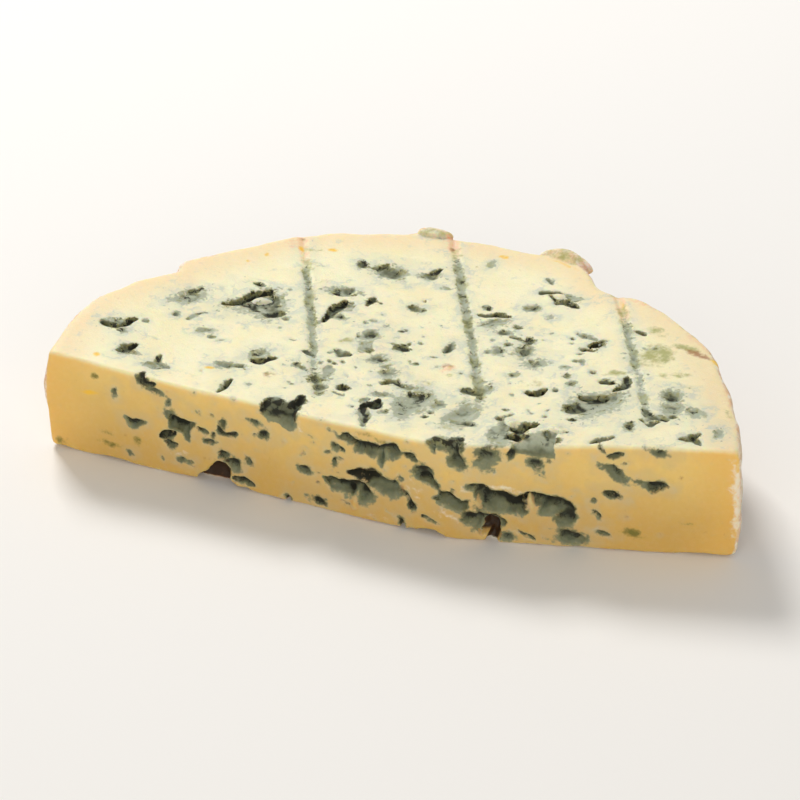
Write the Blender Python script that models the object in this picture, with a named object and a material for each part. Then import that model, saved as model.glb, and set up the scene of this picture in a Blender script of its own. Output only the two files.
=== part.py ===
"""Half wheel of blue cheese, cut on a slight angle at its middle: one solid piece.

The half wheel lies on its flat base with its two cut faces towards -Y. They meet near the
middle in a very blunt point. Three grooves across the top are the halves of the needle
channels that the cheese was pierced with, and the mould has opened pockets in every cut face.

All sizes below are millimetres, measured from the centre of the wheel. The finished solid is
in metres, with its origin under the middle of its bounding box, on the base.
"""

import math

import bmesh
import bpy
from mathutils import Matrix, Vector, noise

MM = 0.001

# The wheel that the piece was cut from.
WHEEL_RADIUS = 100.0
THICKNESS = 31.0
THICKNESS_RISE = 5.0
THICKNESS_RISE_LENGTH = 90.0
LEFT_LIP = 1.5
LEFT_LIP_START = 55.0
LEFT_LIP_LENGTH = 42.0

# The rim isn't round: how far it stands out of (or, below zero, inside) the wheel's radius, by
# the angle round the wheel in degrees from +X.
RIM_OFFSETS = [
    (4.3, 4.2), (10, 2.8), (17, 1.2), (25, 0.1), (35, 0.4), (43, -0.9), (50, -1.4), (54, -2.8),
    (58, -6.0), (62, -5.6), (66, -2.2), (70, 0.9), (75, 1.9), (79, -0.1), (85, 0.6), (92, 0.7),
    (97, 2.4), (100, 0.9), (107, 0.8), (113, 2.1), (119, 2.3), (126, 0.5), (134, -0.4),
    (139.5, -0.1), (141.8, -3.2), (145, -1.5), (151, 0.7), (160, 1.3), (167, 0.2), (175.2, -1.2),
]  # fmt: skip
RIM_STEP = 1.4
CUT_POINT = (24.0, -5.6)

# The rim's wall: share of the height, and how far the wall stands in from the rim there.
RIM_PROFILE = [(0, 2.6), (0.03, 1.3), (0.08, 0.5), (0.2, 0), (0.45, -0.8), (0.75, -0.5), (0.95, 0), (1, 0.5)]

# Lines that the flat blank is scored along, so that its top can bend.
STATIONS = [-85, -70, -55, -35, -12, 10, 25, 40, 55, 70, 85]

# The needle channels: where each enters at the rim, where it ends, and its radius.
CHANNELS = [
    ((-48.5, 93.8), (-19.0, 11.0), 1.5),
    ((-4.5, 103.0), (25.0, 20.0), 1.7),
    ((50.0, 82.0), (77.0, 15.0), 1.6),
]
CHANNEL_LIFT = 0.5
CHANNEL_STEPS = 8

# Mould pockets in the top: x, y, length, width, depth, turn in degrees.
TOP_POCKETS = [
    (-84.0, 27.5, 9.5, 4.0, 2.4, 12),
    (-76.0, 16.5, 4.2, 4.0, 1.6, 40),
    (-67.0, 48.5, 4.0, 7.0, 1.3, -12),
    (-51.5, 50.5, 15.0, 5.0, 4.5, 48),
    (-45.0, 48.0, 9.0, 8.0, 1.8, -40),
    (-27.0, 54.0, 4.2, 14.0, 4.5, -10),
    (-18.0, 77.5, 9.0, 6.5, 2.2, -15),
    (-3.5, 78.0, 5.0, 5.0, 1.8, 20),
    (-13.5, 43.5, 4.0, 4.5, 1.5, 0),
    (-45.2, 7.5, 2.0, 7.0, 2.2, -10),
    (-13.5, 16.0, 3.6, 3.6, 1.8, 0),
    (8.2, 13.0, 6.5, 12.0, 1.3, -4),
    (-3.2, 6.0, 4.6, 12.0, 2.2, 12),
    (18.5, 61.5, 9.5, 6.0, 2.4, 10),
    (35.5, 73.5, 11.5, 4.6, 3.6, -30),
    (41.5, 25.0, 4.8, 3.6, 2.0, 20),
    (24.0, 23.0, 6.5, 5.0, 1.6, 0),
    (51.5, 51.0, 3.4, 3.2, 1.8, 0),
    (59.5, 26.5, 16.5, 6.5, 1.9, 32),
    (55.0, 18.0, 6.0, 7.0, 1.5, -10),
    (80.2, 25.0, 3.6, 10.5, 1.4, 6),
    (89.0, 11.0, 5.0, 3.6, 1.5, 20),
    (66.2, 3.0, 3.2, 7.0, 2.0, -18),
    (44.5, 6.5, 8.0, 9.0, 3.0, 0),
    (-44.0, 17.0, 6.5, 4.0, 1.2, 0),
    (-38.0, 23.0, 6.0, 4.0, 1.3, 30),
    (-17.5, 33.0, 5.5, 3.2, 1.4, -10),
    (-1.5, 40.0, 4.4, 4.0, 1.8, 0),
    (38.0, 37.5, 4.0, 5.5, 1.2, 10),
]  # fmt: skip

# Mould pockets in the cut faces: x, height of the middle, width, height, depth, turn in degrees.
FACE_POCKETS = [
    (-58.0, 15.5, 6.5, 5.0, 3.6, 20),
    (-62.0, 11.8, 5.5, 2.4, 3.0, 38),
    (-68.0, 28.6, 3.6, 2.6, 1.4, -20),
    (-27.5, 27.5, 10.5, 8.0, 8.0, 25),
    (0.5, 23.5, 9.0, 6.0, 4.5, 0),
    (-7.6, 26.0, 5.5, 2.6, 2.6, -30),
    (8.0, 24.2, 6.0, 4.4, 3.4, 0),
    (1.0, 13.6, 15.0, 6.0, 9.0, -18),
    (-6.0, 7.2, 13.5, 7.0, 4.5, 0),
    (16.6, 19.6, 5.5, 6.0, 2.4, 20),
    (24.5, 12.8, 9.5, 6.6, 5.5, -20),
    (23.5, 30.6, 9.0, 6.0, 3.4, -8),
    (26.5, 25.6, 4.6, 5.6, 2.4, 10),
    (34.0, 18.0, 5.0, 5.5, 5.5, 0),
    (39.0, 14.0, 13.0, 7.0, 9.0, -14),
    (50.5, 13.6, 10.0, 6.6, 4.5, -20),
    (33.5, 8.0, 12.5, 5.0, 4.5, -8),
    (58.0, 4.0, 6.5, 4.6, 1.6, 0),
    (57.5, 10.0, 6.0, 5.0, 2.0, 0),
    (48.0, 26.5, 5.0, 3.4, 1.8, -35),
    (68.4, 27.0, 7.5, 2.8, 1.8, -52),
    (67.5, 19.0, 3.4, 2.4, 2.4, 0),
    (80.0, 23.6, 7.6, 3.0, 1.8, -8),
    (-44.5, 18.5, 5.0, 4.4, 2.0, 30),
    (-47.5, 12.8, 4.5, 3.0, 1.6, -20),
    (-39.0, 3.6, 7.5, 2.6, 2.0, -10),
    (-31.5, 19.0, 3.6, 2.8, 1.4, 0),
    (-57.0, 4.2, 5.5, 2.4, 1.6, 0),
]  # fmt: skip

# Places where the base is broken away under the cut faces, in the same form.
BASE_BREAKS = [
    (-46.5, 0.0, 10.0, 10.0, 12.0, 0),
    (-43.5, 4.0, 6.0, 7.5, 6.0, 25),
    (35.0, 1.5, 6.4, 9.0, 7.0, 0),
    (-39.0, 0.0, 6.5, 3.2, 5.0, 0),
    (10.5, 0.0, 13.0, 3.4, 6.0, 0),
    (19.0, 0.0, 8.0, 2.2, 5.0, 0),
]

# Where the top edge over the front has split away along a sloping plane: its two ends in x, how
# far back it runs, its height at the middle of the edge, and its slopes to the right and back.
SPLIT_ENDS = (40.9, 51.8)
SPLIT_BACK = 7.5
SPLIT_MIDDLE = (46.0, -1.9, 31.2)
SPLIT_SLOPES = (-0.19, 0.42)
SPLIT_RISE = 8.0

LUMP_SIZE = 0.16
LUMP_DETAIL = 2
PASTE_COLOUR = (0.90, 0.82, 0.55, 1.0)


def smooth_share(value):
    """0 below 0, 1 above 1, and an even curve between."""
    share = min(1.0, max(0.0, value))
    return share * share * (3 - 2 * share)


def along(pairs, value):
    """A smooth curve through the pairs, read at value. Past either end it stays level."""
    if value <= pairs[0][0]:
        return pairs[0][1]
    for i, ((start, low), (end, high)) in enumerate(zip(pairs, pairs[1:])):
        if value <= end:
            before, after = pairs[max(i - 1, 0)], pairs[min(i + 2, len(pairs) - 1)]
            span = end - start
            slope_in = (high - before[1]) / (end - before[0]) * span
            slope_out = (after[1] - low) / (after[0] - start) * span
            share = (value - start) / span
            rise = smooth_share(share)
            lean_in = slope_in * share * (1 - share) ** 2
            lean_out = slope_out * share**2 * (1 - share)
            return low + (high - low) * rise + lean_in - lean_out
    return pairs[-1][1]


def rim_radius(degrees):
    return WHEEL_RADIUS + along(RIM_OFFSETS, degrees)


def rim_point(degrees):
    angle = math.radians(degrees)
    return Vector((rim_radius(degrees) * math.cos(angle), rim_radius(degrees) * math.sin(angle)))


def thickness_at(x):
    """The piece is thinnest left of the middle and swells to the right."""
    rise = THICKNESS_RISE * smooth_share(x / THICKNESS_RISE_LENGTH)
    lip = LEFT_LIP * smooth_share((-x - LEFT_LIP_START) / LEFT_LIP_LENGTH)
    return THICKNESS + rise + lip


def face_y(x):
    """Where the cut faces stand: two planes that meet at CUT_POINT."""
    right, left = rim_point(RIM_OFFSETS[0][0]), rim_point(RIM_OFFSETS[-1][0])
    end = left if x < CUT_POINT[0] else right
    share = (x - CUT_POINT[0]) / (end.x - CUT_POINT[0])
    return CUT_POINT[1] + share * (end.y - CUT_POINT[1])


def outline():
    """The plan of the piece: round the rim from the right corner, then back along the cuts."""
    first, last = RIM_OFFSETS[0][0], RIM_OFFSETS[-1][0]
    steps = round((last - first) / RIM_STEP)
    rim = [rim_point(first + (last - first) * i / steps) for i in range(steps + 1)]
    return [*rim, Vector(CUT_POINT)]


def mesh_of(curve_object):
    """The curve object's evaluated mesh, with its caps welded on, as a bmesh. The curve goes."""
    graph = bpy.context.evaluated_depsgraph_get()
    mesh = bpy.data.meshes.new_from_object(curve_object.evaluated_get(graph))
    made = bmesh.new()
    made.from_mesh(mesh)
    made.transform(curve_object.matrix_world)
    bmesh.ops.remove_doubles(made, verts=made.verts, dist=1e-4)
    bpy.data.objects.remove(curve_object)
    bpy.data.meshes.remove(mesh)
    return made


def curve_object(name, points, closed):
    curve = bpy.data.curves.new(name, "CURVE")
    spline = curve.splines.new("POLY")
    spline.points.add(len(points) - 1)
    for target, point in zip(spline.points, points):
        target.co = (*point, 1.0)
    spline.use_cyclic_u = closed
    made = bpy.data.objects.new(name, curve)
    bpy.context.collection.objects.link(made)
    return made


def blank():
    """The outline as a flat slab of height 1, from z = 0."""
    made = curve_object("blank", [point.to_3d() for point in outline()], closed=True)
    made.data.dimensions = "2D"
    made.data.fill_mode = "BOTH"
    made.data.extrude = 0.5
    made.location.z = 0.5
    bpy.context.view_layer.update()
    return mesh_of(made)


def score(body, place, direction):
    """Adds a line of vertices where the plane at place crosses the body."""
    everything = [*body.verts, *body.edges, *body.faces]
    bmesh.ops.bisect_plane(body, geom=everything, dist=1e-5, plane_co=place, plane_no=direction)


def shape_body(body):
    """Gives the scored blank its rounded, bulging rim and its uneven height."""
    corners = RIM_OFFSETS[0][0], RIM_OFFSETS[-1][0]
    for vert in body.verts:
        distance = vert.co.to_2d().length
        angle = math.degrees(math.atan2(vert.co.y, vert.co.x))
        on_arc = corners[0] - 0.1 <= angle <= corners[1] + 0.1
        if on_arc and distance > rim_radius(angle) - 0.5:
            inset = along(RIM_PROFILE, vert.co.z)
            vert.co.xy = vert.co.to_2d() * (1 - inset / distance)
        vert.co.z *= thickness_at(vert.co.x)


def add_object(name, body, collection):
    mesh = bpy.data.meshes.new(name)
    bmesh.ops.recalc_face_normals(body, faces=body.faces)
    body.to_mesh(mesh)
    body.free()
    made = bpy.data.objects.new(name, mesh)
    collection.objects.link(made)
    return made


def lump(name, place, half_sizes, turn, axis, collection):
    """An uneven ball, stretched to half_sizes and turned about axis, that cuts one pocket."""
    body = bmesh.new()
    bmesh.ops.create_icosphere(body, subdivisions=LUMP_DETAIL, radius=1.0)
    for vert in body.verts:
        bump = noise.noise(vert.co * 1.7 + place * 0.31)
        vert.co *= 1 + 2 * LUMP_SIZE * bump
    body.transform(Matrix.Diagonal((*half_sizes, 1.0)))
    body.transform(Matrix.Rotation(math.radians(turn), 4, axis))
    body.transform(Matrix.Translation(place))
    return add_cutter(add_object(name, body, collection))


def add_cutter(made):
    made.hide_render = True
    made.display_type = "WIRE"
    return made


def top_lumps(collection):
    for number, (x, y, length, width, depth, turn) in enumerate(TOP_POCKETS):
        place = Vector((x, y, thickness_at(x)))
        sizes = (length / 2, width / 2, depth)
        lump(f"top_pocket_{number}", place, sizes, turn, "Z", collection)


def face_lumps(pockets, stem, collection):
    for number, (x, height, width, tall, depth, turn) in enumerate(pockets):
        place = Vector((x, face_y(x), height))
        sizes = (width / 2, depth, tall / 2)
        lump(f"{stem}_{number}", place, sizes, -turn, "Y", collection)


def split_wedge(collection):
    """The cutter for the split edge: a wedge whose underside is the sloping plane."""
    body = bmesh.new()
    x_middle, y_middle, z_middle = SPLIT_MIDDLE
    for x in SPLIT_ENDS:
        for y in (2 * CUT_POINT[1], SPLIT_BACK):
            z = z_middle + SPLIT_SLOPES[0] * (x - x_middle) + SPLIT_SLOPES[1] * (y - y_middle)
            body.verts.new((x, y, z))
            body.verts.new((x, y, z + SPLIT_RISE))
    bmesh.ops.convex_hull(body, input=body.verts)
    add_cutter(add_object("split_wedge", body, collection))


def channel_rods(collection):
    """Each channel is a rod that lies half sunk in the top and follows its height."""
    for number, (mouth, end, radius) in enumerate(CHANNELS):
        route = []
        for i in range(CHANNEL_STEPS + 1):
            flat = Vector(mouth).lerp(Vector(end), i / CHANNEL_STEPS)
            route.append(Vector((*flat, thickness_at(flat.x) + CHANNEL_LIFT)))
        made = curve_object(f"channel_{number}", route, closed=False)
        made.data.dimensions = "3D"
        made.data.bevel_depth = radius
        made.data.bevel_resolution = 2
        made.data.use_fill_caps = True
        add_cutter(add_object(f"channel_rod_{number}", mesh_of(made), collection))


def carve(target, collection):
    cut = target.modifiers.new("pockets", "BOOLEAN")
    cut.operation = "DIFFERENCE"
    cut.operand_type = "COLLECTION"
    cut.collection = collection
    cut.solver = "EXACT"


def paste_material():
    material = bpy.data.materials.new("cheese_paste")
    material.use_nodes = True
    shader = material.node_tree.nodes["Principled BSDF"]
    shader.inputs["Base Color"].default_value = PASTE_COLOUR
    shader.inputs["Roughness"].default_value = 0.45
    shader.inputs["Metallic"].default_value = 0.0
    return material


def new_collection(name, parent):
    made = bpy.data.collections.new(name)
    parent.children.link(made)
    return made


def to_metres(objects):
    """Scales to metres, and moves the middle of the cheese's base to the origin."""
    cheese = objects[0]
    xs = [vert.co.x for vert in cheese.data.vertices]
    ys = [vert.co.y for vert in cheese.data.vertices]
    middle = Vector(((min(xs) + max(xs)) / 2, (min(ys) + max(ys)) / 2, 0))
    for each in objects:
        each.data.transform(Matrix.Scale(MM, 4) @ Matrix.Translation(-middle))


def main():
    for old in list(bpy.data.objects):
        bpy.data.objects.remove(old)
    scene_root = bpy.context.scene.collection
    parts = new_collection("blue_cheese_half_wheel", scene_root)
    cutters = new_collection("cutters", scene_root)

    body = blank()
    for x in STATIONS:
        score(body, (x, 0, 0), (1, 0, 0))
    for share, _ in RIM_PROFILE[1:-1]:
        score(body, (0, 0, share), (0, 0, 1))
    shape_body(body)
    cheese = add_object("blue_cheese", body, parts)

    top_lumps(cutters)
    face_lumps(FACE_POCKETS, "face_pocket", cutters)
    face_lumps(BASE_BREAKS, "base_break", cutters)
    split_wedge(cutters)
    channel_rods(cutters)
    to_metres([cheese, *cutters.objects])

    carve(cheese, cutters)
    cheese.data.materials.append(paste_material())


main()
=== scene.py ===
"""Half wheel of blue cheese: the finished surface, its materials, the studio and the camera.

The cheese is grown as a field of depths on a fine grid, above 0 inside it and below 0 outside.
The uncut piece comes first. The mould hollows are taken out of it, then the split edge and the
needle channels, flakes are added, and the field's surface is turned into a mesh. Mould and stains
are fields on the same grid, which the mesh carries and the material reads. Sizes are millimetres
from the centre of the wheel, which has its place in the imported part's box.
"""

import math
from typing import NamedTuple

import bpy
import numpy as np
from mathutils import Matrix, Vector


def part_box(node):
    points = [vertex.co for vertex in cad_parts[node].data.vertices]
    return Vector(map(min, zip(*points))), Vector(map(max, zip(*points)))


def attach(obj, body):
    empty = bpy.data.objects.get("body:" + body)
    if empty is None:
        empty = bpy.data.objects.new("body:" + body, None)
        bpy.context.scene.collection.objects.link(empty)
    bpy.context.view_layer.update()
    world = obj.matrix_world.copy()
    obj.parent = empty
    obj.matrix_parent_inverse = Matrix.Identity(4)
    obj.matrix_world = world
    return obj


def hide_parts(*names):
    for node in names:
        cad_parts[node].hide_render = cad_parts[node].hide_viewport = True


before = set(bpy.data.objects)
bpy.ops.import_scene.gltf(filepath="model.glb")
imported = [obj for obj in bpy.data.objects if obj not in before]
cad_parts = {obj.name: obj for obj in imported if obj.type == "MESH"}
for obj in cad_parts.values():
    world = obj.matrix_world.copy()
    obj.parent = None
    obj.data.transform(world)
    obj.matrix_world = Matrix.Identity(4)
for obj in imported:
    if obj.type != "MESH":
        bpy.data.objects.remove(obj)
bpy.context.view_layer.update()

MM = 0.001
NODE = "blue_cheese"

# Where the wheel's centre lies in the part's box: in from its right end, and back from its front.
CENTRE_FROM_RIGHT = 104.7
CENTRE_FROM_FRONT = 5.6
BOX_LOW, BOX_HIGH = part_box(NODE)
WHEEL_X = BOX_HIGH.x / MM - CENTRE_FROM_RIGHT
WHEEL_Y = BOX_LOW.y / MM + CENTRE_FROM_FRONT

# The grid's step, its margin round the part and its seed, the most triangles of the finished mesh,
# and the share of the rind's triangles that goes first, since the rind is plainer than the cut.
GRID_STEP = 0.5
GRID_MARGIN = 2.0
SEED = 11
MOST_TRIANGLES = 194_000
RIND_SAVED = 0.86

# The rim: its first and last angle, how often, how high and from how far out its plan is read from
# the solid, how far the reading keeps from the ends, and how far its wall leans in at shares of
# its height.
RIM_ANGLES = (4.3, 175.2)
RIM_READINGS = 240
RIM_READ_HEIGHT = 6.5
RIM_READ_FROM = 150
RIM_READ_INSET = 0.3
RIM_PROFILE = [
    (0, 2.6), (0.03, 1.3), (0.08, 0.5), (0.2, 0), (0.45, -0.8), (0.75, -0.5), (0.95, 0), (1, 0.5)
]

# The top's height, read from the solid too: how many x it is read at, how many looks from how high
# up find the highest place there, and over which spans.
CROWN_READINGS = 40
CROWN_LOOKS = 60
CROWN_READ_FROM = 60
CROWN_SPAN_X = (-94, 101)
CROWN_SPAN_Y = (-4, 100)

# The point where the two cut faces meet, and how round it and the piece's edges are.
CUT_POINT = (24.0, -5.6)
CUT_POINT_EDGE = 2.0
CUT_EDGE = 1.0
RIND_EDGE = 1.6

# A vein's width at its ends, as a share of its middle's, and how evenly it swells between.
VEIN_TIP = 0.45
VEIN_SWELL = 0.7

# The tone of a hollow with no mould in it, and the limits of the others; tones above 1 paint black
# shade into deep pockets.
CLEAN = 0.0
FAINTEST = 0.02
DARKEST = 1.5


def oval(along, across, shape, point=2.0):
    """0 at the shape's middle and 1 on its outline. Its ends are pointed where point is low."""
    turn = math.radians(shape.turn)
    one = (along * math.cos(turn) + across * math.sin(turn)) / (shape.length / 2)
    two = (across * math.cos(turn) - along * math.sin(turn)) / (shape.width / 2)
    return (np.abs(one) ** point + np.abs(two) ** point) ** (1 / point)


def from_line(us, vs, start, end):
    """How far each place is from the line between two points, and its share of the way along."""
    run_u, run_v = end[0] - start[0], end[1] - start[1]
    share = ((us - start[0]) * run_u + (vs - start[1]) * run_v) / (run_u**2 + run_v**2)
    share = np.clip(share, 0, 1)
    return np.hypot(us - start[0] - share * run_u, vs - start[1] - share * run_v), share


# The hollows. u and v are x and y on the top, and x and height on a cut face. Each is mouldy
# unless its tone is CLEAN, and paler the lower its tone. size() gives its low corner, its high
# corner and half its width, and edge() how far places are outside its outline, below 0 inside.


class Mark(NamedTuple):
    """An oval hollow, or one with pointed ends where point is less than 2."""

    u: float
    v: float
    length: float
    width: float
    depth: float
    turn: float = 0.0
    tone: float = 0.6
    point: float = 2.0

    def size(self):
        reach = max(self.length, self.width) / 2
        middle = np.array((self.u, self.v))
        return middle - reach, middle + reach, min(self.length, self.width) / 2

    def edge(self, us, vs):
        ring = oval(us - self.u, vs - self.v, self, self.point)
        return (ring - 1) * min(self.length, self.width) / 2


class Vein(NamedTuple):
    """A crack along a path, narrowing at both ends."""

    path: tuple
    width: float
    depth: float
    tone: float = 0.8

    def size(self):
        return np.min(self.path, 0), np.max(self.path, 0), self.width / 2

    def edge(self, us, vs):
        lengths = np.hypot(*np.diff(self.path, axis=0).T)
        passed = np.concatenate(([0], np.cumsum(lengths))) / lengths.sum()
        rings = []
        for start, end, before, after in zip(self.path, self.path[1:], passed, passed[1:]):
            away, share = from_line(us, vs, start, end)
            gone = before + share * (after - before)
            swell = np.clip(np.sin(math.pi * gone), 0, 1) ** VEIN_SWELL
            swell = VEIN_TIP + (1 - VEIN_TIP) * swell
            rings.append(away / (self.width / 2 * swell))
        return (np.minimum.reduce(rings) - 1) * self.width / 2


class Pocket(NamedTuple):
    """A hollow with the corners given. Half its width comes from its area and outline."""

    corners: tuple
    depth: float
    tone: float = 0.5

    def sides(self):
        return zip(self.corners, (*self.corners[1:], self.corners[0]))

    def size(self):
        area = sum(a[0] * b[1] - b[0] * a[1] for a, b in self.sides()) / 2
        outline = sum(math.dist(a, b) for a, b in self.sides())
        return np.min(self.corners, 0), np.max(self.corners, 0), 2 * abs(area) / outline

    def edge(self, us, vs):
        away, inside = np.inf, False
        for start, end in self.sides():
            away = np.minimum(away, from_line(us, vs, start, end)[0])
            crosses = (start[1] > vs) != (end[1] > vs)
            slope = (end[0] - start[0]) / ((end[1] - start[1]) or 1)
            inside = inside ^ (crosses & (us < start[0] + slope * (vs - start[1])))
        return np.where(inside, -away, away)


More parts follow.
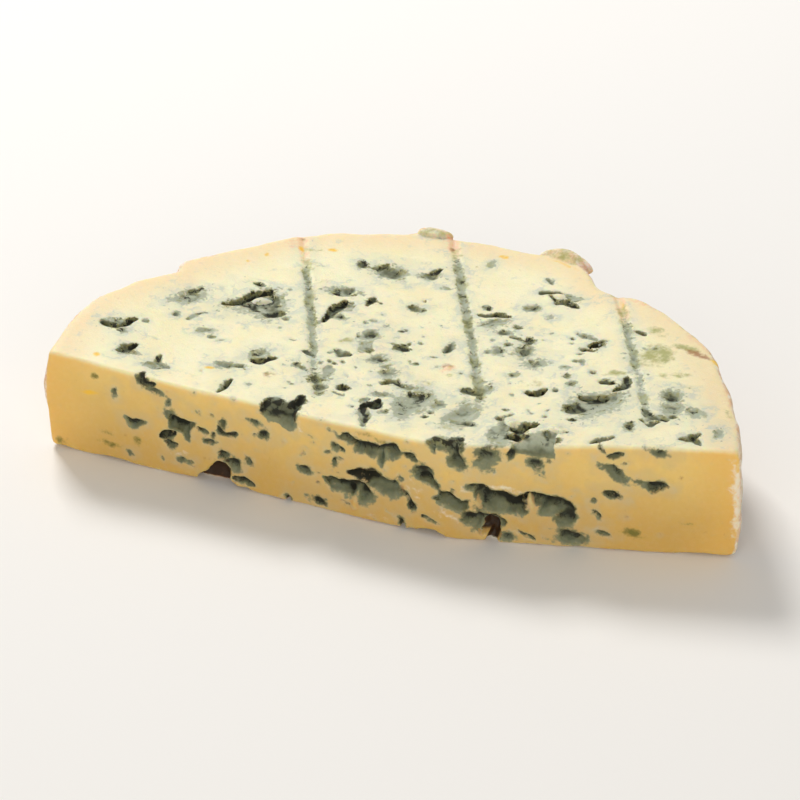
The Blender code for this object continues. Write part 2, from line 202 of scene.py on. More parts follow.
TOP_MARKS = [
    # Left of the first channel.
    Vein(((-88.6, 27.6), (-85.2, 26.7), (-82.6, 26.6), (-80.2, 29), (-79, 31.8)), 2.3, 2.2, 1),
    Mark(-84, 28.6, 5, 2.4, 0.8, 6, 0.3),
    Mark(-80.6, 25.2, 3.4, 2.4, 0.7, 0, 0.35),
    Vein(((-78.6, 15.4), (-77, 17.3), (-75.2, 20.2)), 2.4, 1.8, 0.95),
    Mark(-75.4, 15.4, 4, 2, 0.7, 20, 0.35),
    Vein(((-66.9, 17), (-66.6, 13), (-64.7, 11.2), (-62.6, 11.2)), 1.3, 1.1, 0.85),
    Mark(-67.6, 11, 3.2, 1.5, 0.9, 5, 0.7),
    Mark(-68.8, 48.2, 8.2, 4, 1.3, 52, 0.35, 2.6),
    Vein(((-71, 48), (-69.2, 50.2), (-66.6, 52.6)), 1.2, 1.6, 0.95),
    Mark(-68.2, 38.2, 2, 1.3, 0.6, 10, 0.6),
    Vein(((-64.8, 36.8), (-63.6, 39.6), (-61.4, 41.2)), 1.2, 0.7, 0.65),
    Mark(-58.6, 33.2, 3.6, 1.8, 0.5, 30, 0.3),
    Vein(((-58.4, 48.4), (-53.4, 49.8), (-51.6, 53.6), (-47.4, 58.4)), 2.5, 2.6, 1),
    Vein(((-52.4, 50.6), (-50, 49.4), (-48, 48)), 1.6, 2, 0.9),
    Vein(((-47.2, 57.4), (-46, 53)), 1.5, 2, 0.9),
    Pocket(
        (
            (-57, 47.8), (-53.6, 49.8), (-50.8, 54), (-47.4, 58), (-46.4, 55.6), (-44.6, 56.2),
            (-42.4, 51.4), (-40.6, 46), (-43.2, 44.2), (-48.4, 46.6), (-52.6, 48),
        ),
        1.5,
        0.42,
    ),
    Mark(-42.4, 46.2, 4.4, 3.6, 1.9, 10, 0.9),
    Vein(((-52.4, 61.2), (-49.6, 59.8)), 1.4, 1.2, 0.8),
    Vein(((-41.6, 22.2), (-38, 22.6), (-35.6, 25.4)), 1.8, 1.4, 0.9),
    Mark(-40.4, 25.2, 4.2, 3, 0.8, 35, 0.3),
    Mark(-48.4, 17.6, 4.4, 2.8, 0.7, 0, 0.25),
    Mark(-44.2, 17.8, 3.2, 1.3, 1, 12, 0.8),
    Vein(((-44.6, 10), (-45.6, 6.2), (-46, 3.6)), 2, 1.9, 0.8),
    # Between the first two channels.
    Mark(-8.2, 99.4, 3.4, 1.6, 1.2, -10, 0.8),
    Mark(-13.6, 100.2, 1.8, 1.4, 1, 0, 0.8),
    Mark(-24.9, 79.2, 3, 2.6, 1.2, 0, 0.95),
    Vein(((-22.2, 78.4), (-20, 78.6), (-18.4, 80.8), (-17, 79.6)), 1.3, 1.1, 0.95),
    Mark(-16.4, 77.2, 7.4, 5.2, 1.4, -12, 0.4, 2.4),
    Mark(-5.2, 78.4, 4.8, 2.8, 1.4, 30, 0.45),
    Vein(((-5.6, 79.8), (-3.6, 80.6), (-2.4, 82.8)), 1.6, 1.2, 0.9),
    Mark(1.2, 73.4, 2.4, 1.1, 0.5, 0, 0.5),
    Mark(-26.6, 63.4, 6.6, 3, 1, 8, 0.25),
    Vein(((-29.6, 62), (-26, 61.2), (-23.2, 62.6)), 1.1, 1.3, 0.85),
    Vein(((-28.2, 47), (-26.4, 53), (-24.6, 58)), 3.2, 2.2, 0.9),
    Mark(-24.2, 50.3, 3.6, 2.6, 1, 10, 0.5),
    Mark(-23.2, 56.2, 1.8, 3.6, 0.9, -25, 0.6),
    Vein(((-16.8, 62.8), (-18, 58.4)), 2.2, 1.1, 0.7),
    Mark(-3.8, 60.6, 2.8, 2, 0.9, 0, 0.65),
    Mark(-5.8, 48.9, 2, 1.5, 0.8, 0, 0.8),
    Mark(-13.7, 42.8, 4.6, 4.6, 1.2, 20, 0.4),
    Vein(((-15.8, 42.4), (-14.2, 44.8), (-11.6, 44)), 1.2, 1.3, 0.85),
    Mark(-12.6, 38.2, 2.6, 4, 0.5, 0, 0.25),
    Vein(((-21, 33.6), (-18.4, 31.6), (-15.4, 32.8)), 1.6, 1, 0.75),
    Mark(-7.5, 32.4, 3.6, 3.4, 0.7, 0, 0.4),
    Mark(-2.4, 39.6, 3.6, 3.2, 1.5, -20, 0.95, 1.6),
    Vein(((-6.4, 40.4), (-3.6, 40.4)), 1.1, 0.8, 0.7),
    Vein(((-2.2, 40.6), (-0.8, 42.4)), 1.2, 1, 0.85),
    Mark(-1.8, 26, 3.6, 3.4, 0.6, 0, 0.25),
    Vein(((-2.6, 20.6), (0.2, 22.4), (3.6, 21.6)), 1.8, 1.2, 0.8),
    Mark(-13.4, 16, 3.6, 2.6, 1.8, 0, 1),
    Vein(((-15.6, 13.4), (-13.4, 12), (-11.6, 12.4)), 0.8, 0.6, 0.6),
    Vein(((-5.2, 8.4), (-1.6, 9.4), (-1.4, 12.2)), 2.2, 2, 0.95),
    Vein(((-4.6, 7.4), (-3.2, 4), (-2.8, -1)), 2.8, 1.5, 0.55),
    Mark(1, 7.4, 2, 1.5, 0.7, 0, 0.6),
    Mark(-1.4, 15.4, 4.4, 1.3, 0.5, 12, 0.35),
    # Where the first channel runs out.
    Vein(((-29.2, 30.6), (-26, 29.8)), 1.7, 1.3, 0.9),
    Mark(-23.4, 21.8, 3.6, 1.9, 1.2, 0, 0.9),
    Mark(-21.7, 17.2, 3.8, 3, 1.2, 0, 0.8),
    Mark(-19.6, 14, 3.6, 2.4, 1.2, 0, 0.75),
    Vein(((-19.2, 25.4), (-19.4, 18.6)), 2.6, 0.6, 0.3),
    Mark(-28.4, 23.2, 2.2, 2.2, 0.7, 0, 0.45),
    # Between the second and third channels.
    Mark(9.9, 89.6, 1.4, 2.8, 0.5, 0, 0.4),
    Vein(((28.8, 84.4), (30.8, 81.8)), 1.3, 1, 0.85),
    Mark(28.9, 76.5, 2.2, 1.5, 1.2, 20, 0.95),
    Vein(((29.4, 76.6), (31.6, 77.4), (34.6, 77)), 1.3, 1.6, 0.85),
    Vein(((31, 75.8), (33.6, 72.4), (37.4, 73.4), (40.6, 70.8)), 1.6, 1.8, 0.95),
    Mark(37.8, 73, 3.4, 2.2, 2, -20, 0.95),
    Mark(37.6, 76, 4.4, 1.8, 0.6, -15, 0.2),
    Mark(27.8, 67.9, 3.2, 2.8, 0.5, 0, 0.25),
    Mark(34.5, 65, 2.6, 1.8, 0.4, 0, 0.2),
    Vein(((13.4, 67.2), (16.4, 66)), 1.4, 0.9, 0.7),
    Vein(((13, 62.4), (16, 62.2), (19.6, 63.4), (23.4, 63)), 1.8, 1.5, 0.85),
    Vein(((19.4, 61), (16, 56.2)), 1.3, 1, 0.75),
    Mark(20, 58.8, 6.6, 3.4, 1.2, 30, 0.25, 2.4),
    Mark(26.6, 57.6, 2.6, 1.7, 0.8, 0, 0.65),
    Mark(23, 54, 3.8, 2.1, 1.1, 6, 0.5),
    Vein(((25.2, 52), (30.2, 51.8)), 1, 0.7, 0.75),
    Mark(32.2, 50.8, 3.6, 2.8, 1, 0, 0.7),
    Mark(26.3, 47.7, 2.4, 1.4, 0.8, 15, 0.7),
    Mark(24.6, 43.9, 2.4, 3.4, 1, 10, 0.5),
    Mark(31.6, 45.6, 3.8, 5, 0.9, 0, 0.55),
    Vein(((44.6, 57), (48, 56.4), (51.6, 54.4)), 1.5, 0.6, 0.35),
    Mark(51.4, 51.9, 3.4, 2.4, 2, 5, 1),
    Vein(((51.6, 53.2), (54.4, 55)), 0.9, 0.8, 0.7),
    Mark(50.2, 49.2, 2.4, 1.5, 1.2, 0, 0.95),
    Mark(10.2, 42.8, 2, 3.8, 1.3, -8, 0.9),
    Mark(36.8, 39.8, 4.6, 4, 0.8, 0, 0.35),
    Vein(((34.6, 42.4), (34.8, 39.8), (36.6, 38.2)), 1.1, 1.1, 0.8),
    Mark(31.5, 32.8, 2.1, 1.6, 0.7, 0, 0.6),
    Vein(((38, 24.8), (40.6, 23.8), (42.8, 27)), 2.5, 2.1, 1),
    Mark(47.4, 34.5, 1.3, 2, 0.9, 0, 0.9),
    Mark(49.5, 30.8, 1.6, 2.3, 0.9, -25, 0.8),
    Mark(45.6, 38.4, 2.8, 1.7, 0.4, 0, 0.35),
    Vein(((46, 42.6), (49, 42.4), (50.4, 40.4)), 1, 0.4, 0.35),
    Vein(((20, 23.4), (22.8, 21.8), (25, 22.6)), 2.6, 1.5, 0.8),
    Mark(26.2, 24, 2.4, 3.8, 0.7, -10, 0.3),
    Pocket(((5.4, 7.2), (7.6, 6.4), (10.8, 10.2), (11.6, 18.2), (6, 19.4)), 1.4, 0.32),
    Mark(6.7, 18.4, 2, 1.7, 1.4, 0, 0.95),
    Mark(5.2, 21, 3.6, 2.2, 0.8, 0, 0.6),
    Mark(14.6, 13.6, 2.6, 3.2, 0.6, 0, 0.45),
    Mark(23.2, 10.6, 4.6, 8.6, 0.8, -18, 0.15, 2.6),
    Mark(23.6, 6.2, 5.8, 1.9, 0.9, -5, 0.5),
    Mark(34.5, 9.6, 1.9, 2, 1.2, 0, 0.85),
    Vein(((35.2, 10.6), (37, 13.2)), 1, 0.6, 0.6),
    Mark(25.6, 17.9, 2.4, 1.1, 0.5, -20, 0.5),
    Mark(53.6, 18.4, 4.6, 4.4, 1.7, 0, 0.75),
    Pocket(
        ((53, 19.6), (54.4, 25.2), (61.9, 26.6), (64.6, 28.6), (65.4, 24), (61, 19.6), (57.4, 15.8)),
        1.5,
        0.22,
    ),
    Vein(((53.6, 25), (57.2, 25), (61.6, 26.4)), 1.9, 1.9, 0.85),
    Vein(((62.2, 29.8), (64.4, 32.8), (63.4, 36.6)), 2.6, 1.5, 0.85),
    Vein(((56.6, 33.2), (60.6, 32.8)), 1.8, 1.6, 0.95),
    Vein(((52.4, 13.6), (55.2, 13.4)), 1.3, 1, 0.85),
    Mark(53.6, 6.2, 2.4, 1.1, 0.5, 20, 0.6),
    Mark(52.3, 2.2, 2.8, 2.2, 1.3, 0, 0.85),
    # Right of the third channel.
    Vein(((60.2, 60.8), (63.6, 59.4)), 1.6, 1.2, 0.85),
    Mark(79.2, 29.6, 4.2, 4.6, 1.2, 0, 0.45),
    Mark(80.2, 23.4, 4.4, 5, 1.1, -10, 0.3, 2.4),
    Vein(((72.6, 22.4), (76, 19.6), (79.6, 18.2)), 2, 1, 0.65),
    Vein(((73.2, 16.6), (75.6, 15.8), (77.8, 17.2)), 1.8, 1.3, 0.8),
    Mark(70.8, 12.9, 2.3, 3.8, 1.1, 10, 0.7),
    Mark(86, 23.4, 4.2, 2.8, 0.5, -15, 0.12),
    Vein(((86, 9), (88.4, 10), (90.6, 13.8)), 1.7, 1.3, 0.9),
    Vein(((88.8, 10.2), (92.2, 8)), 1.5, 1, 0.75),
    Mark(96, 15, 2.2, 3.4, 0.5, 10, 0.35),
    Vein(((62.6, 3), (64.2, 4.6), (67.6, 6.8)), 1.6, 1.5, 0.75),
    # The corner over the front.
    # Its tone of 1.7 paints black shade into this deep pocket.
    Pocket(
        (
            (-32.4, -2), (-31.6, 1), (-27, 2.8), (-24.6, 4.2),
            (-23.6, 8.8), (-22.4, 8.2), (-22.2, 3), (-22.2, -2),
        ),
        3.6,
        1.7,
    ),
    Mark(43.4, 8.8, 4, 2.8, 2.6, 10, 1),
    Mark(41.2, 6.6, 3.4, 4.6, 2, -20, 0.7),
    Mark(41, 2, 3.2, 4.4, 3, -25, 1),
    Mark(37.4, 2.6, 5.4, 7.4, 0.8, 0, 0.35),
    Vein(((48.8, 6.4), (50.2, 3.4)), 1.3, 1.6, 0.9),
]

FACE_MARKS = [
    # The left end.
    Mark(-76.7, 23, 1.4, 2.2, 0.9, 0, 0.6),
    Mark(-68.6, 30.1, 2.4, 2.4, 1.5, 0, 0.95),
    Vein(((-68.6, 29.2), (-66.8, 29), (-65, 29.8)), 1.8, 1.3, 0.95),
    Mark(-65.2, 27, 4, 1.4, 0.8, -10, 0.6),
    Mark(-61, 24.4, 1.8, 1.7, 0.5, 0, 0.4),
    Mark(-60.4, 20.8, 3, 1.6, 0.6, -15, 0.4),
    Pocket(((-73.6, 15.6), (-69, 16.3), (-69.6, 14.4), (-71.4, 12.3), (-73, 13.9)), 1.6, 0.5),
    Pocket(
        (
            (-60, 19.8), (-57.4, 19.5), (-52.8, 19.2), (-54.2, 16.6),
            (-54.2, 13.4), (-56.2, 15.2), (-58.2, 15.5), (-61, 16.8),
        ),
        3.4,
        0.6,
    ),
    Vein(((-55.8, 18.4), (-53.8, 18.2), (-54.6, 16.6)), 1.3, 3.4, 0.8),
    Vein(((-58.2, 16.4), (-56, 15.9)), 1.4, 4.6, 1),
    Vein(((-63.4, 11.8), (-61, 12.9), (-58.8, 14.2)), 2.2, 3.2, 1),
    Vein(((-62.6, 10.6), (-60.4, 10), (-58.4, 10.6)), 1.5, 1.1, 0.65),
    Vein(((-52, 18), (-48.4, 16.8)), 1.3, 0.9, 0.8),
    Mark(-46.5, 16.8, 1.3, 2.6, 0.9, -10, 0.85),
    Mark(-47.9, 13.9, 3, 1.4, 1.1, -10, 0.8),
    Mark(-44.2, 21.4, 1.3, 2.3, 1, 0, 0.9),
    Vein(((-45.2, 20), (-43.4, 18.4), (-40.8, 19.8)), 1.8, 1.2, 0.7),
    Mark(-34.6, 24.5, 2.8, 1.5, 0.8, -15, 0.55),
    Mark(-31.1, 20.9, 2.8, 2.6, 1.2, 0, 0.7),
    Mark(-43.4, 10.9, 3.2, 1.7, 1.2, 15, 0.85),
    Mark(-40.5, 8.8, 3.8, 3, 1.3, 0, 0.6),
    Mark(-36.2, 11, 1.3, 2.1, 1, 40, 0.95),
    Vein(((-41, 4.3), (-38, 4.2), (-35, 3.6)), 1.7, 1.5, 0.85),
    Mark(-57.4, 5.9, 2.6, 1.5, 0.8, -10, 0.5),
    Mark(-55.2, 5.2, 2, 1.4, 0.7, 0, 0.5),
    Pocket(
        (
            (-54, -2), (-52, 1.4), (-49.6, 4.4), (-47.4, 6.3), (-45.2, 7.6), (-43.2, 8),
            (-41.9, 6.9), (-42, 4.9), (-42.8, 3.6), (-40.6, 2.2), (-37.6, 1), (-34, -2),
        ),
        4.5,
        CLEAN,
    ),
    # The pit under the top edge.
    Pocket(
        (
            (-31.8, 28.4), (-32, 34), (-22, 34), (-22.2, 28.6),
            (-22.8, 25.4), (-24.2, 25.2), (-26.5, 26.5), (-29.4, 26.9),
        ),
        3.6,
        0.3,
    ),
    # The pit's deep back: its tone of 1.7 paints black shade.
    Pocket(((-32, 28), (-32, 35), (-22.2, 35), (-22.6, 27.8), (-26, 30)), 7, 1.7),
    Mark(-15.3, 31.4, 2.4, 1.3, 0.8, -10, 0.6),
    Mark(-18.2, 12.4, 3.2, 2.3, 1, -10, 0.55),
    Mark(-15.2, 3.5, 3.4, 1.6, 1.3, -12, 0.9),
    Mark(-18.6, 3.6, 2, 1.3, 0.6, 0, 0.4),
    Mark(-24.9, 0.4, 1.8, 3.4, 2.6, 10, 1),
    # The upper pocket, and the torn ones under it.
    Pocket(
        (
            (-9.2, 26.4), (-8.2, 28.3), (-6.4, 27.9), (-4.6, 26.4), (-1.6, 25.8), (2.6, 26.4),
            (5.2, 27.3), (7.4, 27.8), (9.2, 26.6), (8.8, 24.4), (7, 23.2), (5.6, 23.8),
            (4.6, 20.8), (3.8, 19.4), (3.2, 21.4), (1.4, 22.2), (-1.2, 22.6), (-3.8, 22.4),
            (-5, 24.4), (-7, 25.2),
        ),
        3.8,
        0.62,
    ),
    Vein(((-1.4, 25), (1.4, 25.2), (3.2, 25.8)), 1.6, 4.2, 0.9),
    Vein(((5.4, 26.6), (7.6, 26.8), (8.6, 25.8)), 2, 4.4, 1),
    Vein(((11, 26), (13.2, 25.4), (15.2, 24.2)), 1.6, 1.2, 0.75),
    Mark(-10.3, 22.6, 1.7, 2.2, 1, 0, 0.8),
    Vein(((-9.2, 23.4), (-7.6, 21.4)), 1.2, 0.8, 0.7),
    Mark(-10.2, 17.8, 1.3, 2.4, 0.9, -10, 0.85),
    Vein(((-9.8, 19), (-8, 19.2)), 1, 0.6, 0.6),
    # A deep pocket whose tone of 1.7 paints black shade.
    Pocket(
        (
            (-6.2, 15.4), (-3, 16.9), (0.8, 17.8), (3.8, 17.2),
            (4.6, 16), (2.4, 14.6), (-1, 13.8), (-4, 14.4),
        ),
        9.5,
        1.7,
    ),
    Pocket(
        (
            (-2.6, 14.8), (4.4, 17), (8.2, 15.4), (11.6, 13.2),
            (9.6, 12), (6.4, 10.2), (4, 10.9), (1.6, 12.6),
        ),
        4.4,
        0.55,
    ),
    Pocket(
        (
            (-12.6, 11.4), (-10.2, 11.8), (-7, 12.1), (-4, 12.6), (-1.6, 12.6), (0.6, 11),
            (1.8, 9.4), (1.2, 7.4), (-0.6, 5.8), (-2.1, 5.6), (-2.3, 8), (-2.7, 10.6),
            (-3.6, 9.2), (-4.4, 7.6), (-6.3, 6.8), (-7.6, 7.9), (-11.2, 8.5), (-11.8, 10.2),
        ),
        3.6,
        0.58,
    ),
    Vein(((-0.8, 10.2), (-0.4, 7.4)), 1.6, 4, 0.85),
    Vein(((-5.8, 8), (-4.6, 8.6)), 1.4, 4, 0.9),
    Vein(((-8.4, 5.3), (-6.2, 4.6), (-3.8, 4.2)), 0.9, 0.7, 0.7),
    Vein(((11.6, 12.8), (12.4, 10.6), (13, 9.2)), 1.1, 0.9, 0.7),
    Mark(13, 8.9, 1.8, 2, 1.3, 0, 0.95),
    Pocket(
        (
            (14.4, 18.4), (14.2, 20.4), (15.2, 22.4), (17.6, 22.9), (19.3, 21.8),
            (19.5, 19.4), (20.3, 17.4), (19.6, 16.6), (18.4, 17.6), (16.4, 17.4),
        ),
        1.9,
        0.5,
    ),
    Vein(((15.6, 18), (17.6, 18.6), (19.2, 18), (20, 16.8)), 1.2, 2.6, 1),
    Pocket(
        (
            (20.4, 16.4), (21.8, 15.2), (24.2, 15.7), (25.8, 14.9), (27.6, 13.7), (29.4, 13.4),
            (29.4, 11.2), (28.4, 10.4), (26.4, 10.1), (24, 11), (21, 11.4), (20.2, 12.6),
            (21, 14),
        ),
        4.6,
        0.66,
    ),
    Pocket(
        (
            (27.2, 7.6), (28.6, 9.2), (31, 9.7), (35.4, 9.5), (38.6, 9.1), (40.8, 8.4),
            (40, 6.4), (37, 5.4), (33.4, 5.6), (32.6, 3.8), (31.4, 3.6), (31.4, 5.6), (29.2, 6.2),
        ),
        3.4,
        0.6,
    ),
    Pocket(
        (
            (18.4, 31.6), (21.4, 33), (23.4, 32.3), (27, 32.6), (27.6, 31), (27, 29.4),
            (28.8, 26.9), (29.6, 25.4), (28.6, 24.2), (26, 23.6), (24.2, 24.6), (23.5, 26.6),
            (24.2, 28.8), (22.6, 30.6), (21, 30.4), (20.6, 27.8), (19.7, 28), (19.6, 30.2),
        ),
        2.4,
        0.6,
    ),
    Vein(((19.4, 31.6), (22.2, 31.8), (25.2, 31.6), (26.8, 30.6)), 1.7, 3.2, 1),
    Vein(((26.2, 29), (27.2, 26.4)), 1.7, 2.8, 0.9),
    Mark(34.2, 33.4, 1.7, 1.9, 1.1, 0, 0.95),
    Pocket(
        (
            (32, 29.6), (33.4, 31.4), (36.8, 31.2), (37.4, 29),
            (36.4, 27.8), (35.2, 25.4), (34.4, 27), (32.4, 27.2),
        ),
        0.9,
        0.35,
    ),
    Mark(32.6, 28.8, 1.6, 2, 1, 0, 0.8),
    Mark(30, 19, 2.2, 1.7, 1.2, 0, 0.7),
    Pocket(
        (
            (32, 14.8), (31.4, 17.4), (32.2, 19.5), (34, 19.7), (35.2, 17.8), (38, 16.8),
            (41, 16.7), (43.4, 15.6), (44.8, 13.4), (46, 11.6), (44.6, 10.2), (42.2, 11.4),
            (39.4, 11.8), (37.6, 10.9), (34.4, 10.4), (32.6, 10.8), (32.6, 12.8),
        ),
        4.6,
        0.66,
    ),
    # Deep pockets whose tone of 1.7 paints black shade.
    Mark(33.8, 17.6, 3.2, 3.8, 7, 0, 1.7),
    Mark(40.2, 14.6, 9.4, 3.4, 9.5, -12, 1.7),
    Pocket(
        (
            (43, 16.6), (45.2, 17.8), (50, 17), (54, 16.5), (57.4, 15.2), (58.8, 12.8),
            (58.2, 10.6), (55.8, 10.2), (54, 11.6), (50.4, 11), (48.6, 11.2), (48.6, 13.8),
            (46.6, 14.6), (44.4, 15.4),
        ),
        4.2,
        0.62,
    ),
    Mark(56.4, 9.8, 5.4, 4.6, 2, -20, 0.6),
    Vein(((53.4, 14.8), (56.6, 12.2), (58.8, 9.6)), 1.5, 2.6, 0.9),
    Mark(58.4, 3.4, 7.4, 4.2, 1.1, 0, 0.45),
    Pocket(
        (
            (33, 5.8), (34.4, 6.5), (37.2, 6.5), (38.6, 4.8), (39, 2.2), (38, 0.8),
            (37, -2), (33.4, -2), (34.6, 1.6), (32.2, 2.2), (32, 3), (33.6, 3.6),
        ),
        4.5,
        CLEAN,
    ),
    Mark(40.6, 2.2, 3, 3, 0.6, 0, 0.3),
    Mark(10.4, 0.8, 1.8, 5, 3, 4, 1),
    Mark(7, -0.6, 9, 2.6, 5, 0, CLEAN),
    Mark(17.6, -0.8, 11, 3.2, 5, -3, CLEAN),
    Vein(((16.4, 5.8), (18.6, 4.6), (21.6, 3.8)), 1.1, 0.9, 0.75),
    Vein(((43.4, 5), (45.6, 3.6), (48.2, 1.6)), 1.2, 1.1, 0.9),
    # The right end.
    Vein(((40.8, 31.8), (40.8, 28.6)), 1.6, 1.3, 0.8),
    Pocket(
        ((45.6, 27.2), (47, 28.5), (49.6, 28.4), (50.9, 26.6), (50.5, 24.3), (49, 24.8), (47, 25.8)),
        1.3,
        0.35,
    ),
    Vein(((47.6, 25.8), (49.4, 25), (50.3, 25.6)), 0.8, 1.6, 0.95),
    Mark(52, 28.9, 2, 1.3, 1, 0, 0.9),
    Mark(68.5, 18.9, 3.8, 2, 2.6, -5, 1),
    Mark(69.2, 27, 7, 2.6, 1.5, -46, 0.45),
    Vein(((67.2, 32.4), (69.6, 32.8), (71.4, 33.2)), 1.6, 1.2, 0.65),
    Vein(((65, 35), (66.4, 33.6)), 1.1, 1, 0.8),
    Mark(81.4, 33.6, 3.9, 1.8, 0.8, -12, 0.4),
    Mark(79.4, 23.6, 7, 2.3, 1.3, -8, 0.5),
    Vein(((78, 23.2), (80.4, 21.8), (84, 22.6)), 1.2, 1.6, 0.9),
    Mark(64.8, 11.8, 1.2, 2.3, 1, 40, 0.8),
    Mark(66.7, 5.4, 2.5, 1.3, 0.8, -15, 0.6),
]


class Channel(NamedTuple):
    """A needle channel across the top: where it enters at the rim, where it ends, its radius, and
    how far back its blush from the rind gives way to grey mould."""

    mouth: tuple
    end: tuple
    radius: float
    blush_end: float


CHANNELS = [
    Channel((-48.5, 93.8), (-19, 11), 1.05, 74),
    Channel((-5.5, 103), (26, 20), 1.2, 90),
    Channel((49.5, 82), (76.2, 15), 1.05, 66),
]

# How far a channel's axis lies over the top, how far its blush takes to fade, how far its sides
# and its lining reach, and how much the grain of the paste bends and roughens it.
CHANNEL_LIFT = 0.45
BLUSH_FADE = 12.0
CHANNEL_HALO = 0.8
CHANNEL_LINING = 1.8
CHANNEL_WARP = 0.4
CHANNEL_SAG = 0.5
CHANNEL_ROUGHNESS = 0.25

# Where the top edge over the front has split away along a sloping plane: its two ends in x, its
# height at the middle of the edge, its slopes to the right and back, how far past its ends and
# how far back it is cut, how ragged its ends are, and the tone and reach of the mould on it.
SPLIT_ENDS = (41, 51.7)
SPLIT_MIDDLE = (46, -1.9, 31.2)
SPLIT_SLOPES = (-0.19, 0.42)
SPLIT_MARGIN = 3
SPLIT_BACK = 13
SPLIT_WARP = 1.2
SPLIT_TONE = 0.14
SPLIT_HALO = 0.8


class Flake(NamedTuple):
    """A torn bit of clean paste: its middle, its three lengths, its turns about Z and Y, and how
    far it stands out."""

    place: tuple
    lengths: tuple
    turn: float = 0.0
    lean: float = 0.0
    lift: float = 0.6


FLAKES = [
    Flake((-48.4, 53.2, 30), (5, 3.4, 1.8), 30),
    Flake((-35.2, 17.2, 32.6), (5, 3.8, 2.6), 10),
    Flake((12.7, 33.3, 32.6), (5, 5.2, 2.4), 0),
    Flake((34, 75.6, 32.4), (4.6, 2.6, 1.8), -20),
    Flake((51, 7.5, 33.8), (6.5, 2.6, 1.6), -28, 12),
    Flake((38.5, 9, 32.6), (3.6, 3, 1.8), 30),
    Flake((66.8, 3.4, 34.4), (7, 2.2, 2), 8, 6),
    Flake((-26.6, 5, 26.4), (4.6, 3.4, 2.2), 10),
    Flake((-59.6, 7, 13.4), (5.4, 3, 1.2), 8, -35),
    Flake((-4, -1.6, 5), (2.2, 3.4, 5.6), 0, -12),
    Flake((37, -1.6, 18.2), (8.5, 3, 1.3), 4, 6),
    Flake((46.4, -1, 14.6), (1.6, 4, 6.5), 0, 12),
    Flake((32, -2.2, 13.4), (1.8, 4, 5), 0, 10),
    Flake((9.4, -3.4, 19.6), (1.8, 3, 5), 0, -20),
    # Lumps of rind that stand out from the rim.
    Flake((-10, 100.6, 31), (11, 5.4, 5.4), 0, 0, 1.3),
    Flake((30.5, 97.6, 30), (20, 8.6, 8), -24, 6, 2.5),
]


class Stain(NamedTuple):
    """A patch of colour with no hollow. kind names the field it is painted on."""

    kind: str
    u: float
    v: float
    length: float
    width: float
    turn: float = 0.0
    strength: float = 1.0


